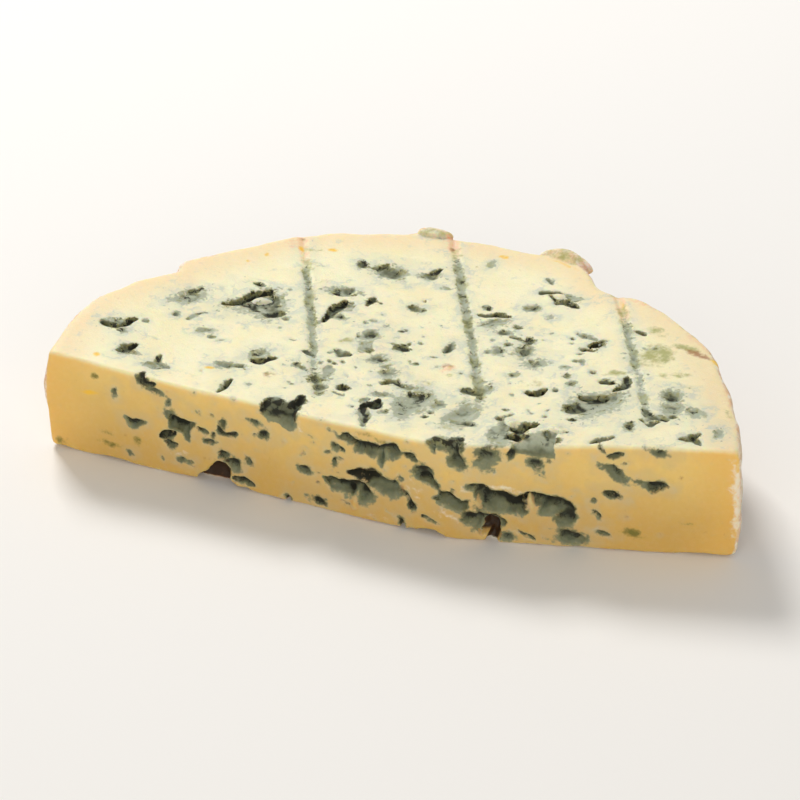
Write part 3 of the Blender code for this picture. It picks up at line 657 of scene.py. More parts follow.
TOP_STAINS = [
    Stain("slate", -65, 37, 9, 3, -10, 0.7),
    Stain("slate", -60, 41.5, 8, 2.6, 15, 0.6),
    Stain("olive", -58, 34, 6, 3, 0, 0.5),
    Stain("slate", -40.5, 55, 4, 12, -10, 0.4),
    Stain("olive", -38.5, 74.5, 3, 7, -10, 0.6),
    Stain("olive", -34, 67, 8, 5, 10, 0.4),
    Stain("olive", -19.5, 39, 6, 4, 20, 0.9),
    Stain("slate", -3, 66, 4, 4, 0, 0.6),
    Stain("slate", 4, 56, 9, 4, 0, 0.5),
    Stain("slate", -6, 52, 8, 3, 10, 0.5),
    Stain("slate", -16, 20, 9, 8, 0, 0.7),
    Stain("slate", -20, 5, 12, 7, 0, 0.6),
    Stain("olive", 8, 24, 8, 5, 0, 0.5),
    Stain("slate", 16, 16, 9, 12, 0, 0.5),
    Stain("olive", 22, 3.5, 12, 5, 0, 0.7),
    Stain("slate", 28, 67.5, 4.5, 4, 0, 0.7),
    Stain("slate", 45, 53, 13, 4, -5, 0.6),
    Stain("olive", 60, 38, 9, 4, 20, 0.9),
    Stain("olive", 66, 62, 9, 5, -15, 0.8),
    Stain("olive", 69.5, 50, 12, 17, 10, 1),
    Stain("olive", 66, 44, 7, 3, 0, 0.7),
    Stain("olive", 77, 40, 12, 4, 10, 0.7),
    Stain("olive", 76.5, 64, 11, 3.6, -32, 1.3),
    Stain("olive", 75.5, 55.5, 10, 3.6, -16, 1.3),
    Stain("olive", 82, 35, 8, 2.2, 18, 0.7),
    Stain("olive", 95.5, 25, 5, 2.4, -60, 0.7),
    Stain("rust", 80, 52.8, 15, 3.4, -22, 1.2),
    Stain("amber", 86, 49.8, 5, 2.6, -20, 1.3),
    Stain("blush", 80, 60, 24, 9, -42, 0.75),
    Stain("blush", 94, 36, 28, 7, -68, 0.75),
    Stain("blush", 60, 76, 22, 7, -30, 0.75),
    Stain("amber", 53.6, 74.4, 1.2, 9, 22, 0.7),
    Stain("rust", -46.4, 88, 2.6, 3.4, 0, 1),
    Stain("amber", -45, 82.5, 2.6, 4.4, 20, 1),
    Stain("rust", -3, 94, 2.2, 3.2, 0, 1.2),
    Stain("blush", -49, 86, 7, 13, 12, 0.7),
    Stain("blush", -5, 97, 7, 11, 12, 0.6),
    Stain("slate", 62, 24, 10, 24, -32, 0.6),
    Stain("slate", 87, 21.5, 5, 3, -20, 0.9),
    Stain("slate", 76, 8, 16, 8, 0, 0.5),
    Stain("slate", 48, 14, 18, 8, 0, 0.5),
    Stain("olive", 38, 30, 12, 8, 30, 0.4),
    Stain("amber", -51.8, 15, 3.6, 1.7, 5, 1.2),
    Stain("amber", -83.4, 11.2, 3, 2.3, 30, 1.1),
    Stain("amber", -54, 76.5, 2, 2.8, 0, 1.2),
    Stain("amber", -58.5, 71, 2, 2, 0, 1),
    Stain("amber", -36, 84, 3.4, 2, 0, 1.3),
    Stain("olive", -41, 83, 4.4, 1.2, 0, 1),
    Stain("amber", 12.5, 94.5, 3.6, 2.2, -15, 1.4),
    Stain("olive", 9.5, 89.5, 2.4, 3, 0, 1.3),
    Stain("olive", 6.5, 87, 1.8, 1.2, 0, 0.8),
    Stain("olive", -10, 100.6, 12, 6.4, 0, 0.75),
    Stain("bloom", 66, 74, 26, 4, -36, 0.7),
    Stain("olive", 30, 97.4, 21, 8, -26, 0.75),
    Stain("amber", 30.6, 93, 18, 1.9, -28, 0.75),
    Stain("rust", 12.7, 33.3, 6.2, 6.4, 0, 0.6),
    Stain("blush", 12.7, 33.3, 6, 6, 0, 0.8),
    Stain("olive", 14.2, 30, 2.4, 2, 0, 1),
    # Shifted to the nodule's lower side: a painted brown shadow under it.
    Stain("rust", -35.2, 16.2, 6, 4.6, 0, 0.6),
    Stain("olive", -35.2, 17.3, 5.4, 4.2, 0, 0.8),
]

FACE_STAINS = [
    Stain("olive", -83, 27.5, 2.4, 3, 0, 1.3),
    Stain("olive", -70.5, 8, 4, 3, 0, 1.4),
    Stain("olive", -79, 5.2, 7.5, 1.7, 0, 1.4),
    Stain("amber", -84.5, 21, 7.5, 1.6, 2, 1),
    Stain("olive", -80, 9, 6, 4, 0, 0.4),
    Stain("olive", -94.5, 2.2, 6, 3.6, 0, 1),
    Stain("olive", -59, 22, 1.8, 2.2, 0, 1),
    # A painted glow of light through the thin left end.
    Stain("amber", -90, 13, 5, 7, 0, 0.3),
    # Painted soft shade, grey round the marks on the lower left of the cut face.
    Stain("slate", -50, 16, 22, 14, 0, 0.35),
    Stain("olive", 3, 28.4, 18, 1.8, -8, 0.9),
    Stain("rust", 10.5, 13.6, 1.8, 2.8, 10, 1.5),
    Stain("slate", 38, 24, 26, 10, 0, 0.35),
    # A painted shadow: the brown band over the arch at the base.
    Stain("rust", -45, 9, 10, 2.2, 14, 0.7),
    Stain("olive", 75, 7, 9, 4.6, -8, 1.1),
    Stain("rust", 87, 27, 1.8, 2.8, 30, 1),
    Stain("amber", 92, 30, 1.2, 1, 0, 0.9),
    Stain("olive", 90, 11, 7, 1.6, -10, 0.6),
    Stain("bloom", 103, 20, 4.6, 34, 0, 1),
    Stain("blush", 101.5, 25, 4, 16, 0, 0.5),
    # Paler paste, where it is torn rather than cut.
    Stain("bloom", -57, 8, 12, 3, 8, 0.55),
    Stain("bloom", -20.6, 26, 3, 7, 10, 0.7),
    Stain("bloom", 2, 3.4, 12, 3.4, -4, 0.45),
    Stain("bloom", 14, 14, 9, 12, 20, 0.45),
    Stain("bloom", 24, 7.6, 15, 5, -12, 0.55),
    Stain("bloom", 28.6, 18, 6, 5, -30, 0.6),
    Stain("bloom", 39.5, 18.8, 12, 2.4, -6, 0.9),
    Stain("bloom", 42.5, 4, 8, 6, 0, 0.6),
]


class Specks(NamedTuple):
    """Small marks strewn over a surface: how many, their least and most length, the highest v and
    the darkest tone, and the middles and half-widths of the crowded stretches, in u and v."""

    count: int
    least: float
    most: float
    highest: float
    darkest: float
    crowds: list


TOP_SPECKS = Specks(165, 0.7, 2.1, 100, 1, [(30, 30, 45, 26), (-10, 35, 34, 30), (58, 40, 30, 22)])
FACE_SPECKS = Specks(95, 0.6, 1.7, 35, 0.6, [(10, 16, 46, 16), (-52, 16, 20, 12), (62, 20, 16, 16)])

# Where specks may lie: their u, their least y on the top, and how far in from the wheel's radius.
SPECK_SPAN = (-95, 100)
SPECK_FRONT = 2
CLEAN_RIM = 13.0
WHEEL_RADIUS = 100

# How much the small ones outnumber the large, their widths and depths as shares of their length,
# the length past which they get no deeper, what is added to their depth, the middle and the
# spread of their turns, their palest tone, and how pointed they are.
SPECK_SMALLNESS = 2.2
SPECK_WIDTHS = (0.35, 0.9)
SPECK_DEPTHS = (0.35, 0.55)
SPECK_DEEP_LENGTH = 2.2
SPECK_DEPTH = 0.2
SPECK_TURNS = (-8, 32)
SPECK_PALEST = 0.1
SPECK_POINT = 1.7


class Cut(NamedTuple):
    """How a surface's marks are cut: the share of their depth, how steep their walls are, how much
    painted shade darkens their upper lip, how far mould spreads from them, the most that their
    outline is torn, and how full of mould the finest are."""

    share: float
    wall: float
    shaded_lip: float
    halo: float
    torn: float
    finest: float


TOP_CUT = Cut(0.75, 2.4, 0.3, 1.1, 1.0, 1.0)
FACE_CUT = Cut(1.0, 1.9, 0.55, 1.5, 1.5, 0.5)

# The wider a mark, the fuller its mould and the darker its tone: the half-widths over which each
# would grow from nothing to its whole, and the share of its tone that the finest mark has.
FILL_HALF_WIDTH = 1.8
BOLD_HALF_WIDTH = 2.4
FINEST_TONE = 0.45

# The paste's own unevenness, in layers of (distance between bumps, height of the bumps): what
# bends outlines, what tears them, what shifts the hollows' depth, the relief of the cut and of
# the rind, and what makes the channels' mould patchy.
WARPS = [(5.0, 0.85), (2.0, 0.7)]
TENDRILS = [(2.6, 0.7), (1.3, 0.35)]
DEEP_WARP = [(6.0, 0.7)]
RELIEF = [(14.0, 0.5), (4.0, 0.16), (1.6, 0.07)]
RIM_RELIEF = [(8.0, 0.85), (3.6, 0.45), (1.5, 0.16)]
PATCHES = [(3.0, 1.0)]

# The shares of the relief that the top and the cut faces have, the level that creases are counted
# from, and the limits of how far they tear an outline out or in.
TOP_RELIEF = 0.5
FACE_RELIEF = 0.6
CREASE_LEVEL = 0.3
TENDRIL_LIMITS = (-0.4, 0.8)

# How far a hollow in a cut face slants up as it goes in, how round every hollow's rim is, and the
# least size that a mark's depths are scaled to.
UNDERCUT = 0.45
HOLLOW_EDGE = 0.6
LEAST_SCALE = 0.8

# How far mould lines a hollow's wall, how far its tone and its dust reach, how far down its lip's
# painted shade and how far in its fading edge, how deep a stain is painted, and how soft its edge is.
MOULD_LINING = 0.15
TONE_REACH = 1.4
DUST_REACH = 5.0
LIP_REACH = 2.4
CORE_REACH = 1.5
STAIN_REACH = 2.5
STAIN_SOFTNESS = 0.7
STAIN_FADE = 0.5

# How square a flake is, how much the grain bends it, and how fast mould thins out towards it.
FLAKE_SQUARE = 1.6
FLAKE_WARP = 0.6
FLAKE_FADE = 0.5

# The blocks of the grid that are worked on: their margins round a shape and round a channel, how
# far below and above the top and before and behind the cut faces they reach, and the heights
# between which all of the top lies.
BLOCK_MARGIN = 1.5
CHANNEL_MARGIN = 4
TOP_BLOCK = (-4, 3)
FACE_BLOCK = (-9, 11)
TOP_BAND = (24, 39)

# Where in those blocks the outlines' shifts are read: below the top, and in y on the cut faces.
TOP_LAYER = 0.5
FACE_LAYER = -4

# What grows on the cheese: mould, how dark it is, with painted shade added under hollows' upper lips
# and in deep pockets, how far inside a hollow's outline a place is, how near it is to mould, and how
# stained it is with each colour, a few of the stains being painted shadow.
FIELDS = ("mould", "tone", "core", "blush", "dust", "olive", "slate", "amber", "bloom", "rust")


def ease(value):
    """0 below 0, 1 above 1, and an even curve between."""
    share = np.clip(value, 0, 1)
    return share * share * (3 - 2 * share)


def spline_weights(places, pitch):
    """How much each knot, pitch apart, counts at each place on a smooth curve through them."""
    first = places[0] - 2 * pitch
    counts = int((places[-1] - first) / pitch) + 4
    offsets = np.abs((places[:, None] - first) / pitch - np.arange(counts)[None, :])
    inner = 2 / 3 - offsets**2 + offsets**3 / 2
    outer = np.clip(2 - offsets, 0, None) ** 3 / 6
    return np.where(offsets < 1, inner, outer).astype(np.float32)


def bumps(axes, pitch, dice):
    """Smooth random values between about -1 and 1 all over the grid, pitch millimetres apart."""
    weights = [spline_weights(axis, pitch) for axis in axes]
    knots = dice.uniform(-2, 2, [each.shape[1] for each in weights]).astype(np.float32)
    found = np.tensordot(weights[0], knots, axes=(1, 0))
    found = np.tensordot(found, weights[1], axes=(1, 1))
    return np.tensordot(found, weights[2], axes=(1, 1))


def soft_lower(one, other, radius):
    """The lower of two depths, with the edge between them rounded to about that radius."""
    near = np.clip(1 - np.abs(one - other) / radius, 0, 1)
    return np.minimum(one, other) - near * near * radius / 4


def in_part(x, y, z):
    """A point of the wheel, in millimetres, as a place in the part's own frame."""
    return Vector(((WHEEL_X + x) * MM, (WHEEL_Y + y) * MM, z * MM))


def rim_radii(solid, angles):
    """How far the solid's rim is from the wheel's centre, looking in from outside at each angle."""
    found = []
    for angle in angles:
        out = Vector((math.cos(angle), math.sin(angle), 0))
        start = in_part(RIM_READ_FROM * out.x, RIM_READ_FROM * out.y, RIM_READ_HEIGHT)
        _, place, _, _ = solid.ray_cast(start, -out)
        found.append((place - in_part(0, 0, RIM_READ_HEIGHT)).length / MM)
    return np.array(found)


def crown_heights(solid, xs):
    """The solid's height at each x: the highest of several looks down at its top."""
    found = []
    for x in xs:
        heights = [0.0]
        for y in np.linspace(*CROWN_SPAN_Y, CROWN_LOOKS):
            hit, place, _, _ = solid.ray_cast(in_part(x, y, CROWN_READ_FROM), Vector((0, 0, -1)))
            heights.append(place.z / MM if hit else 0.0)
        found.append(max(heights))
    return np.array(found)


class Cheese:
    """The grid, and the fields on it that say where the cheese is and what grows on it.

    rim, face and top are the depths below each smooth surface, body the depths in the uncut
    piece, and field the depths in what is left of it.
    """

    def __init__(self, solid):
        self.dice = np.random.default_rng(SEED)
        self.read_solid(solid)
        self.make_axes()
        self.make_body()

    def read_solid(self, solid):
        """The rim's radius at each angle and the top's height at each x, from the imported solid."""
        first, last = (math.radians(each) for each in RIM_ANGLES)
        inset = math.radians(RIM_READ_INSET)
        self.angles = np.linspace(first, last, RIM_READINGS)
        self.radii = rim_radii(solid, np.clip(self.angles, first + inset, last - inset))
        self.crown_xs = np.linspace(*CROWN_SPAN_X, CROWN_READINGS)
        self.crown = crown_heights(solid, self.crown_xs)

    def make_axes(self):
        lows = (BOX_LOW.x / MM - WHEEL_X, BOX_LOW.y / MM - WHEEL_Y, 0)
        highs = (BOX_HIGH.x / MM - WHEEL_X, BOX_HIGH.y / MM - WHEEL_Y, BOX_HIGH.z / MM)
        self.axes = [
            np.arange(low - GRID_MARGIN, high + GRID_MARGIN, GRID_STEP).astype(np.float32)
            for low, high in zip(lows, highs)
        ]
        self.x, self.y, self.z = np.meshgrid(*self.axes, indexing="ij", sparse=True)

    def rough(self, layers):
        """Random bumps all over the grid, of the distance and height that each layer gives."""
        return sum(height * bumps(self.axes, pitch, self.dice) for pitch, height in layers)

    def creases(self, layers):
        """The same with sharp valleys, where the bumps change sign."""
        return sum(
            height * (np.abs(bumps(self.axes, pitch, self.dice)) - CREASE_LEVEL)
            for pitch, height in layers
        )

    def face_depth(self):
        """How far each grid point lies behind the cut faces."""
        ends = [
            (self.radii[i] * math.cos(self.angles[i]), self.radii[i] * math.sin(self.angles[i]))
            for i in (-1, 0)
        ]
        depths = []
        for (x, y), side in zip(ends, (-1, 1)):
            run = np.array((x - CUT_POINT[0], y - CUT_POINT[1])) * side
            across = np.array((-run[1], run[0])) / np.hypot(*run)
            depths.append((self.x - CUT_POINT[0]) * across[0] + (self.y - CUT_POINT[1]) * across[1])
        return soft_lower(depths[0], depths[1], CUT_POINT_EDGE)

    def make_body(self):
        """The uncut piece, as depths below its nearest surface."""
        angle = np.arctan2(self.y, self.x)
        radius = np.interp(angle, self.angles, self.radii)
        height = np.interp(self.x, self.crown_xs, self.crown)
        share = np.clip(self.z / height, 0, 1)
        inset = np.interp(share, *zip(*RIM_PROFILE))
        self.rim = (radius - np.hypot(self.x, self.y) - inset).astype(np.float32)
        self.face = self.face_depth() + 0 * self.z
        self.top = height - self.z + 0 * self.y

        # All that is random in the grain of the paste.
        relief = self.rough(RELIEF)
        rind = self.rough(RIM_RELIEF)
        self.warp = [self.rough(WARPS), self.rough(WARPS)]
        self.tendrils = np.clip(self.creases(TENDRILS), *TENDRIL_LIMITS)
        self.patches = self.rough(PATCHES)
        self.deep_warp = self.rough(DEEP_WARP)

        cut = soft_lower(self.top + relief * TOP_RELIEF, self.face + relief * FACE_RELIEF, CUT_EDGE)
        sides = soft_lower(cut, self.rim + rind, RIND_EDGE)
        self.body = soft_lower(sides, self.z - np.abs(rind), RIND_EDGE)
        self.field = self.body.copy()
        self.grown = {name: np.zeros_like(self.body) for name in FIELDS}

    def nearby(self, lows, highs):
        """The block of the grid between two corners."""
        return tuple(
            slice(max(0, int(np.searchsorted(axis, low)) - 1), int(np.searchsorted(axis, high)) + 1)
            for axis, low, high in zip(self.axes, lows, highs)
        )

    def places(self, block):
        """The x, y and z of the block's grid points."""
        return np.ix_(*(axis[each] for axis, each in zip(self.axes, block)))

    def around(self, low, high, on_top, depth):
        """The block round an outline on the top or a cut face, with its torn u, v and depth."""
        (low_u, low_v), (high_u, high_v) = low, high
        if on_top:
            height = float(np.interp((low_u + high_u) / 2, self.crown_xs, self.crown))
            below, above = height - depth + TOP_BLOCK[0], height + TOP_BLOCK[1]
            block = self.nearby((low_u, low_v, below), (high_u, high_v, above))
        else:
            before, behind = FACE_BLOCK[0], FACE_BLOCK[1] + depth
            block = self.nearby((low_u, before, low_v), (high_u, behind, high_v))
        us, ys, zs = self.places(block)
        down = (self.top if on_top else self.face)[block] + self.deep_warp[block]
        if on_top:
            layer = int(np.searchsorted(zs.ravel(), height - TOP_LAYER))
            warps = [warp[block][:, :, layer : layer + 1] for warp in self.warp]
            return block, us + warps[0], ys + warps[1], down
        layer = int(np.searchsorted(ys.ravel(), FACE_LAYER))
        warps = [warp[block][:, layer : layer + 1, :] for warp in self.warp]
        return block, us + warps[0], zs + warps[1] - UNDERCUT * np.clip(down, 0, None), down

    def paint(self, name, block, value):
        """Raises a grown field to the value, where it is lower."""
        field = self.grown[name][block]
        np.maximum(field, value, out=field)

    def hollow_out(self, block, depth, tone, halo, fill=1.0):
        """Takes a hollow out of the block, and lets mould grow in and just round it."""
        self.field[block] = soft_lower(self.field[block], -depth, HOLLOW_EDGE)
        if np.max(tone) == CLEAN:
            return
        self.paint("mould", block, fill * np.clip(1 + (depth + MOULD_LINING) / halo, 0, 1))
        self.paint("tone", block, tone * np.clip(1 + depth / TONE_REACH, 0, 1))
        self.paint("dust", block, np.clip(1 + depth / DUST_REACH, 0, 1))

    def grow(self, shape, on_top):
        """Hollows out one mark, with torn points round it, and its mould in it."""
        cut = TOP_CUT if on_top else FACE_CUT
        low, high, half = shape.size()
        sunk = shape.depth * cut.share
        block, us, vs, down = self.around(low - DUST_REACH, high + DUST_REACH, on_top, sunk)
        edge = shape.edge(us, vs)
        # 1 towards the outline's upper or back side, and -1 towards the other, for the painted shade
        # under the lip.
        shaded_lip = np.clip((shape.edge(us, vs + LIP_REACH) - edge) / LIP_REACH, -1, 1)
        edge = edge + min(half, cut.torn) * self.tendrils[block]
        ring = np.clip(1 + edge / half, 0, None)
        whole = (ring**cut.wall + np.clip(down / sunk, 0, None) ** cut.wall) ** (1 / cut.wall)
        depth = (1 - whole) * max(min(half, sunk), LEAST_SCALE)
        bold = min(1, FINEST_TONE + half / BOLD_HALF_WIDTH)
        tone = shape.tone * bold
        # Painted shade: the tone is raised under the upper lip and lowered on the lower side.
        if tone > CLEAN:
            tone = np.clip(tone + cut.shaded_lip * bold * shaded_lip, FAINTEST, DARKEST)
        self.hollow_out(block, depth, tone, cut.halo, min(1, cut.finest + half / FILL_HALF_WIDTH))
        self.paint("core", block, np.clip(-edge / CORE_REACH, 0, 1))

    def stain(self, stain, on_top):
        """Paints a stain on one of the fields, just under the surface."""
        length, width = stain.length, stain.width
        reach = max(length, width) / 2 + BLOCK_MARGIN
        place = np.array((stain.u, stain.v))
        block, us, vs, down = self.around(place - reach, place + reach, on_top, STAIN_REACH)
        soft = min(1.0, STAIN_SOFTNESS / min(length, width) * 2)
        ring = oval(us - stain.u, vs - stain.v, stain)
        painted = stain.strength * ease((1 + soft - ring) / (2 * soft + STAIN_FADE))
        self.paint(stain.kind, block, painted * (down < STAIN_REACH))

    def specks(self, recipe, on_top):
        """Strews small marks, thickest on the crowded stretches and none by the rind."""
        placed = 0
        while placed < recipe.count:
            u, v = self.dice.uniform(*SPECK_SPAN), self.dice.uniform(0, recipe.highest)
            near = max(
                math.exp(-(((u - a) / reach_a) ** 2) - ((v - b) / reach_b) ** 2)
                for a, b, reach_a, reach_b in recipe.crowds
            )
            inside = np.hypot(u, v if on_top else 0) + CLEAN_RIM < WHEEL_RADIUS
            fits = inside and (not on_top or v > SPECK_FRONT) and self.dice.random() < near
            if not fits:
                continue
            spread = recipe.most - recipe.least
            length = recipe.least + spread * self.dice.random() ** SPECK_SMALLNESS
            width = length * self.dice.uniform(*SPECK_WIDTHS)
            depth = self.dice.uniform(*SPECK_DEPTHS) * min(length, SPECK_DEEP_LENGTH) + SPECK_DEPTH
            turn = self.dice.normal(*SPECK_TURNS)
            tone = self.dice.uniform(SPECK_PALEST, recipe.darkest)
            self.grow(Mark(u, v, length, width, depth, turn, tone, SPECK_POINT), on_top)
            placed += 1

    def flake(self, flake):
        """Adds a torn bit of paste, clean of mould but for its edge."""
        reach = max(flake.lengths) / 2 + BLOCK_MARGIN
        place = np.array(flake.place)
        block = self.nearby(place - reach, place + reach)
        x, y, z = (
            each + FLAKE_WARP * warp[block] - middle
            for each, warp, middle in zip(self.places(block), (*self.warp, self.deep_warp), place)
        )
        turn, lean = math.radians(flake.turn), math.radians(flake.lean)
        x, y = x * math.cos(turn) + y * math.sin(turn), y * math.cos(turn) - x * math.sin(turn)
        x, z = x * math.cos(lean) + z * math.sin(lean), z * math.cos(lean) - x * math.sin(lean)
        shares = [np.abs(2 * each / size) for each, size in zip((x, y, z), flake.lengths)]
        whole = sum(each**FLAKE_SQUARE for each in shares) ** (1 / FLAKE_SQUARE)
        depth = (1 - whole) * min(flake.lengths) / 2
        depth = np.minimum(depth, self.body[block] + flake.lift)
        self.field[block] = np.maximum(self.field[block], depth)
        for name in ("mould", "core", "rust"):
            field = self.grown[name][block]
            np.minimum(field, np.clip(0.25 - depth / FLAKE_FADE, 0, 1), out=field)

    def split(self):
        """Takes off the split edge, and leaves a smooth pale plane of mould."""
        first, last = SPLIT_ENDS
        x_middle, y_middle, z_middle = SPLIT_MIDDLE
        x_slope, y_slope = SPLIT_SLOPES
        block = self.nearby(
            (first - SPLIT_MARGIN, FACE_BLOCK[0], TOP_BAND[0]),
            (last + SPLIT_MARGIN, SPLIT_BACK, TOP_BAND[1]),
        )
        xs, ys, zs = self.places(block)
        plane = z_middle + x_slope * (xs - x_middle) + y_slope * (ys - y_middle)
        above = (zs - plane) / math.sqrt(1 + x_slope**2 + y_slope**2)
        side = np.minimum(xs - first, last - xs) + SPLIT_WARP * self.warp[0][block]
        self.hollow_out(block, np.minimum(above, side), SPLIT_TONE, SPLIT_HALO)
        self.paint("core", block, np.clip(np.minimum(side, above + 1) / CORE_REACH, 0, 1))

    def channel(self, channel):
        """Sinks a needle channel into the top, pink near the rind and mouldy further in."""
        mouth, end = np.array(channel.mouth), np.array(channel.end)
        lows, highs = np.minimum(mouth, end) - CHANNEL_MARGIN, np.maximum(mouth, end) + CHANNEL_MARGIN
        block = self.nearby((*lows, TOP_BAND[0]), (*highs, TOP_BAND[1]))
        xs, ys, _ = self.places(block)
        length = np.hypot(*(end - mouth))
        run = (end - mouth) / length
        xs = xs + CHANNEL_WARP * self.warp[0][block]
        ys = ys + CHANNEL_WARP * self.warp[1][block]
        along = (xs - mouth[0]) * run[0] + (ys - mouth[1]) * run[1]
        across = (xs - mouth[0]) * run[1] - (ys - mouth[1]) * run[0]
        past = np.clip(along - length, 0, None)
        down = self.top[block] + CHANNEL_LIFT + CHANNEL_SAG * self.deep_warp[block]
        rough = CHANNEL_ROUGHNESS * self.tendrils[block]
        depth = channel.radius - np.sqrt(across**2 + down**2 + past**2) + rough

        # The mould in it is patchy, darker at its sides, and tinged with olive.
        patchy = self.patches[block]
        side = np.clip(np.abs(across) / channel.radius, 0, 1) ** 2
        self.hollow_out(block, depth, 0.32 + 0.4 * patchy + 0.3 * side, CHANNEL_HALO)
        lined = np.clip(1 + depth / CHANNEL_LINING, 0, 1)
        mould = self.grown["mould"][block]
        mould[lined > 0.3] *= (0.85 + 0.5 * patchy)[lined > 0.3]
        self.paint("olive", block, lined * np.clip(0.6 + patchy, 0, 1) * 0.8)

        # Near the rind blush takes the mould's place.
        pink = ease((ys - channel.blush_end + BLUSH_FADE / 2) / BLUSH_FADE)
        pink = lined * pink * np.clip(0.85 + 0.5 * patchy, 0, 1)
        middle = 0.6 - 0.6 * np.abs(across) / channel.radius
        for name, value in (("blush", pink), ("mould", -pink), ("dust", -pink), ("core", middle)):
            field = self.grown[name][block]
            np.clip(field + value * (depth > -1), 0, 1, out=field)


# The corners of a cell of the grid, and the pairs of them that an edge joins.
CORNERS = np.array([(i, j, k) for i in (0, 1) for j in (0, 1) for k in (0, 1)])
EDGES = [
    (a, b) for a in range(8) for b in range(a + 1, 8) if np.abs(CORNERS[a] - CORNERS[b]).sum() == 1
]


def skin(field, axes):
    """The surface where the field is 0, as points and four-sided faces."""
    # A point in each cell that the surface passes through, amid its crossings of the cell's edges.
    inside = field > 0
    counts = sum(
        inside[tuple(slice(c, c - 1 or None) for c in corner)].astype(np.int8) for corner in CORNERS
    )
    cells = np.argwhere((counts > 0) & (counts < 8))
    values = np.stack([field[tuple((cells + corner).T)] for corner in CORNERS], axis=1)
    total, crossed = np.zeros((len(cells), 3)), np.zeros(len(cells))
    for a, b in EDGES:
        crosses = (values[:, a] > 0) != (values[:, b] > 0)
        span = np.where(crosses, values[:, a] - values[:, b], 1)
        share = np.where(crosses, values[:, a] / span, 0)
        place = CORNERS[a] + share[:, None] * (CORNERS[b] - CORNERS[a])
        total += np.where(crosses[:, None], place, 0)
        crossed += crosses
    points = cells + total / crossed[:, None]
    places = np.array([axis[0] for axis in axes]) + points * GRID_STEP

    # A face round each edge of the grid that the surface crosses, facing out.
    number = np.full(counts.shape, -1)
    number[tuple(cells.T)] = np.arange(len(cells))
    faces = []
    for axis in range(3):
        ahead = np.roll(inside, -1, axis)
        changes = np.argwhere(inside != ahead)
        changes = changes[(changes[:, axis] < field.shape[axis] - 1) & (changes.min(1) >= 1)]
        leaving = inside[tuple(changes.T)]
        second, third = np.eye(3, dtype=int)[(axis + 1) % 3], np.eye(3, dtype=int)[(axis + 2) % 3]
        ring = [changes - second - third, changes - third, changes, changes - second]
        quads = np.stack([number[tuple(each.T)] for each in ring], axis=1)
        faces.append(np.where(leaving[:, None], quads, quads[:, ::-1]))
    return places, np.concatenate(faces)


def read_field(field, axes, points):
    """The field's value at each point, between its grid points."""
    place = (points - np.array([axis[0] for axis in axes])) / GRID_STEP
    place = np.clip(place, 0, np.array(field.shape) - 1.001)
    low = place.astype(int)
    share = place - low
    found = np.zeros(len(points))
    for corner in CORNERS:
        weight = np.prod(np.where(corner, share, 1 - share), axis=1)
        found += weight * field[tuple((low + corner).T)]
    return found


def mesh_from(name, points, faces):
    """A mesh of four-sided faces."""
    mesh = bpy.data.meshes.new(name)
    mesh.vertices.add(len(points))
    mesh.vertices.foreach_set("co", points.astype(np.float32).ravel())
    mesh.loops.add(faces.size)
    mesh.loops.foreach_set("vertex_index", faces.astype(np.int32).ravel())
    mesh.polygons.add(len(faces))
    mesh.polygons.foreach_set("loop_start", np.arange(0, faces.size, 4, dtype=np.int32))
    mesh.update(calc_edges=True)
    mesh.validate()
    return mesh


def thin_out(piece, most, plain=None):
    """Merges the flattest faces until most triangles are left, of the plain points if given."""
    triangles = sum(len(face.vertices) - 2 for face in piece.data.polygons)
    thin = piece.modifiers.new("thin_out", "DECIMATE")
    thin.ratio = min(1.0, most / triangles)
    if plain is not None:
        group = piece.vertex_groups.new(name="plain")
        group.add([int(each) for each in np.flatnonzero(plain)], 1.0, "REPLACE")
        thin.vertex_group = "plain"
    graph = bpy.context.evaluated_depsgraph_get()
    mesh = bpy.data.meshes.new_from_object(piece.evaluated_get(graph))
    piece.modifiers.remove(thin)
    piece.vertex_groups.clear()
    piece.data = mesh


def grow_cheese():
    """The cheese with everything cut into it, grown on it and added to it."""
    grown = Cheese(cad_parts[NODE])
    for marks, stains, recipe, on_top in (
        (TOP_MARKS, TOP_STAINS, TOP_SPECKS, True),
        (FACE_MARKS, FACE_STAINS, FACE_SPECKS, False),
    ):
        for each in marks:
            grown.grow(each, on_top)
        grown.specks(recipe, on_top)
        for each in stains:
            grown.stain(each, on_top)
    grown.split()
    for each in CHANNELS:
        grown.channel(each)
    for each in FLAKES:
        grown.flake(each)
    return grown


# Where the look of the top gives way to that of the cut faces: how much the grain bends the line
# between them, how far up it is shifted, and how wide it is.
FRONT_WARP = 0.6
FRONT_SHIFT = 0.2
FRONT_WIDTH = 1.4


def surface_fields(grown):
    """Every field that the material reads, by the name of its attribute."""
    below = grown.top - grown.face + FRONT_WARP * grown.deep_warp + FRONT_SHIFT
    front = ease(below / FRONT_WIDTH)
    body = np.minimum(np.minimum(grown.top, grown.face), grown.rim)
    return grown.grown | {"body": body, "rim": grown.rim, "front": front}


